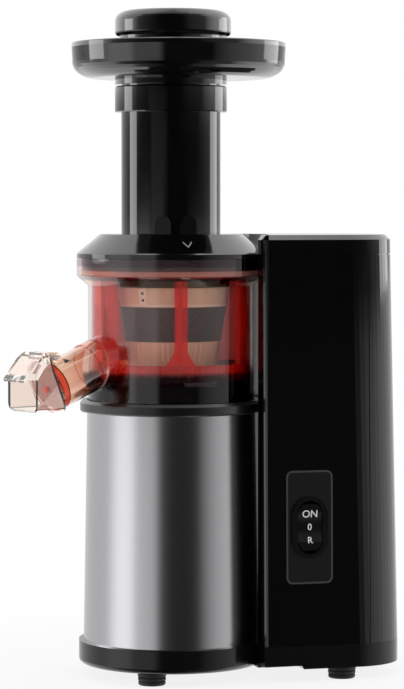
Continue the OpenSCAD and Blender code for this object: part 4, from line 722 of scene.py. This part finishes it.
# ---- room ----
# Brightness that mirrors see round the room, by degrees from the front view: side panels, a dark
# room in front and the white backdrop. Each level is seen at the heights that it lights best.
LOW_ROOM = [  # sleeve, bowl and lower column
    (-180, 1.0), (-146, 1.0), (-94, 1.05), (-74, 2.2), (-54, 2.2), (-46, 1.1), (-21, 1.05),
    (-14, 0.03), (37, 0.03), (42, 0.26), (60, 0.75), (86, 1.1), (96, 1.3), (150, 1.2), (180, 1.0),
]
HIGH_ROOM = [  # chute and upper column
    (-180, 1.0), (-150, 0.8), (-130, 0.6), (-100, 0.15), (-80, 0.05), (-50, 0.0), (-42, 0.26),
    (-14, 0.2), (-4, 0.0), (60, 0.0), (80, 0.1), (109, 0.45), (140, 0.7), (180, 1.0),
]
TOP_ROOM = [  # tray and cap, and what slopes down towards the ground
    (-180, 1.0), (-130, 2.4), (-84, 2.3), (-72, 0.6), (-60, 0.35), (-40, 0.1), (-24, 0.0),
    (20, 0.03), (38, 0.3), (66, 0.5), (78, 2.0), (90, 2.8), (118, 3.0), (180, 1.0),
]
ROOM_TOP = 3.0  # brightness of a full step on the ramps
FILL = 0.72  # brightness of the room as it lights matt surfaces
# Each room takes over from the one before it between two rises of a mirrored ray, from -1 straight
# down to 1 straight up. Under the lowest of them TOP_ROOM shows too.
LEVELS = ((LOW_ROOM, -0.3, -0.2), (HIGH_ROOM, -0.014, -0.006), (TOP_ROOM, 0.036, 0.042))


def room_stops(steps):
    """Ramp stops over the whole turn, from degrees and brightnesses."""
    return [((degrees + 180) / 360, (*[value / ROOM_TOP] * 3, 1)) for degrees, value in steps]


world = bpy.data.worlds.new("studio")
bpy.context.scene.world = world
world.use_nodes = True
sky = world.node_tree
sky.nodes.clear()
direction = add(sky, "TexCoord").outputs["Generated"]
ahead = add(sky, "VectorMath", {0: direction, 1: tuple(view)}, operation="DOT_PRODUCT")
across = add(sky, "VectorMath", {0: direction, 1: tuple(aside)}, operation="DOT_PRODUCT")
turned = add(
    sky, "Math", {0: across.outputs["Value"], 1: ahead.outputs["Value"]}, operation="ARCTAN2"
)
bearing = add(
    sky, "MapRange", {"Value": turned.outputs["Value"], "From Min": -math.pi, "From Max": math.pi}
).outputs["Result"]
rise = add(sky, "SeparateXYZ", {"Vector": direction}).outputs["Z"]
room = add(sky, "ValToRGB", {"Fac": bearing}, room_stops(TOP_ROOM)).outputs["Color"]
for steps, start, full in LEVELS:
    share = add(sky, "MapRange", {"Value": rise, "From Min": start, "From Max": full})
    above = add(sky, "ValToRGB", {"Fac": bearing}, room_stops(steps)).outputs["Color"]
    mix = add(sky, "MixRGB", {"Fac": share.outputs["Result"], "Color1": room, "Color2": above})
    room = mix.outputs["Color"]
path = add(sky, "LightPath").outputs
fill = add(sky, "Background", {"Color": WHITE, "Strength": FILL}).outputs["Background"]
mirrored = add(sky, "Background", {"Color": room, "Strength": ROOM_TOP}).outputs["Background"]
white = add(sky, "Background", {"Color": WHITE, "Strength": 1.0}).outputs["Background"]
looks = add(
    sky, "Math", {0: path["Is Camera Ray"], 1: path["Is Transmission Ray"]}, operation="MAXIMUM"
)
lit = add(sky, "MixShader", {0: path["Is Glossy Ray"], 1: fill, 2: mirrored}).outputs["Shader"]
shown = add(sky, "MixShader", {0: looks.outputs["Value"], 1: lit, 2: white}).outputs["Shader"]
add(sky, "OutputWorld", {"Surface": shown})

bpy.context.scene.view_settings.view_transform = "Standard"
